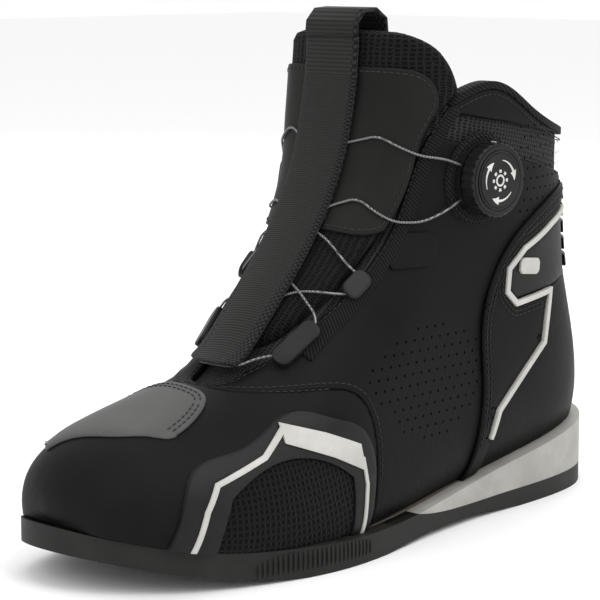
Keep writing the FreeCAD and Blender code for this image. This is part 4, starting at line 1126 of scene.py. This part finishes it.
rim = bmesh.new()
dial_strip(rim, 11.5, 12.4, 0, 2 * math.pi - 0.0001, KNOB_TOP - 0.2, KNOB_TOP + 0.55, 72)
dial_strip(rim, 12.9, 14.2, 0, 2 * math.pi - 0.0001, KNOB_TOP - 0.2, KNOB_TOP + 0.3, 72)
bmesh.ops.recalc_face_normals(rim, faces=rim.faces)
dress(new_piece("dial_rim_rings", rim), DIAL_BLACK, "knob", "dial_plastic")

arc = bmesh.new()
dial_strip(arc, 15.75, 16.35, math.radians(20), math.radians(165), 1.2, 3.5, 36)
bmesh.ops.recalc_face_normals(arc, faces=arc.faces)
dress(new_piece("dial_mark_arc", arc), PRINT_WHITE, "boot", "white_tpu")



def node_surface(node):
    """The surface of a CAD node, in mm, to find places on."""
    mesh = frame["nodes"][node].data
    return BVHTree.FromPolygons([v.co / MM for v in mesh.vertices], [p.vertices[:] for p in mesh.polygons])


seat_surface = node_surface("dial_flange")
seat_thread = bmesh.new()
SEAT_STITCHES = 44
SEAT_ROW = 17.9
ABOVE_SEAT = 20.0
for k in range(SEAT_STITCHES):
    spots = []
    for shift in (-0.062, 0.0, 0.062):
        above = dial_spot(SEAT_ROW, 2 * math.pi * k / SEAT_STITCHES + shift, ABOVE_SEAT)
        place = seat_surface.ray_cast(above, -DIAL_AXIS)[0]
        spots.append(np.array(place if place is not None else above - DIAL_AXIS * 19))
    stitch_line(seat_thread, np.array(spots), np.array([DIAL_AXIS] * 3), pitch=2.0, length=1.6, width=0.5)
bmesh.ops.recalc_face_normals(seat_thread, faces=seat_thread.faces)
dress(new_piece("dial_seat_stitches", seat_thread), THREAD, "boot", "black_textile")

# ---------------------------------------------------------------------------
# Sole bumper: a ribbed rubber swelling on the outer side of the ball, part of
# the outsole's moulding, where the boot touches down in a lean.
RIB_COUNT = 26
BUMPER_REAR = 36.0
BUMPER_FRONT = 92.0
RIB_LOW = 3.4
RIB_HIGH = 8.5
RIB_SWELL = 2.6
RIB_RISE = 0.75
RIB_ROWS = 7
sole_surface = node_surface("outsole")
bumper = bmesh.new()
for k in range(RIB_COUNT):
    x = BUMPER_REAR + (BUMPER_FRONT - BUMPER_REAR) * k / (RIB_COUNT - 1)
    share = math.sin(math.pi * (k + 0.5) / RIB_COUNT)
    top = RIB_HIGH + RIB_SWELL * min(1.0, share * 1.8)
    spots = []
    for j in range(RIB_ROWS):
        z = RIB_LOW + (top - RIB_LOW) * j / (RIB_ROWS - 1)
        place, normal = sole_surface.ray_cast(Vector((x, OUTSIDE, z)), Vector((0, -1, 0)))[:2]
        if place is not None:
            spots.append((place, normal))
    rows = []
    for j, (place, normal) in enumerate(spots):
        rise = RIB_RISE * math.sin(math.pi * (j + 0.5) / len(spots)) ** 0.5
        rows.append([bumper.verts.new(place + Vector((dx, 0, 0)) + normal * dy)
                     for dx, dy in ((-0.8, -0.3), (-0.45, rise), (0.45, rise), (0.8, -0.3))])
    if rows:
        four_sided(bumper, rows)
bmesh.ops.recalc_face_normals(bumper, faces=bumper.faces)
dress(new_piece("sole_bumper_ribs", bumper), SOLE_RUBBER, "boot", "sole_rubber")
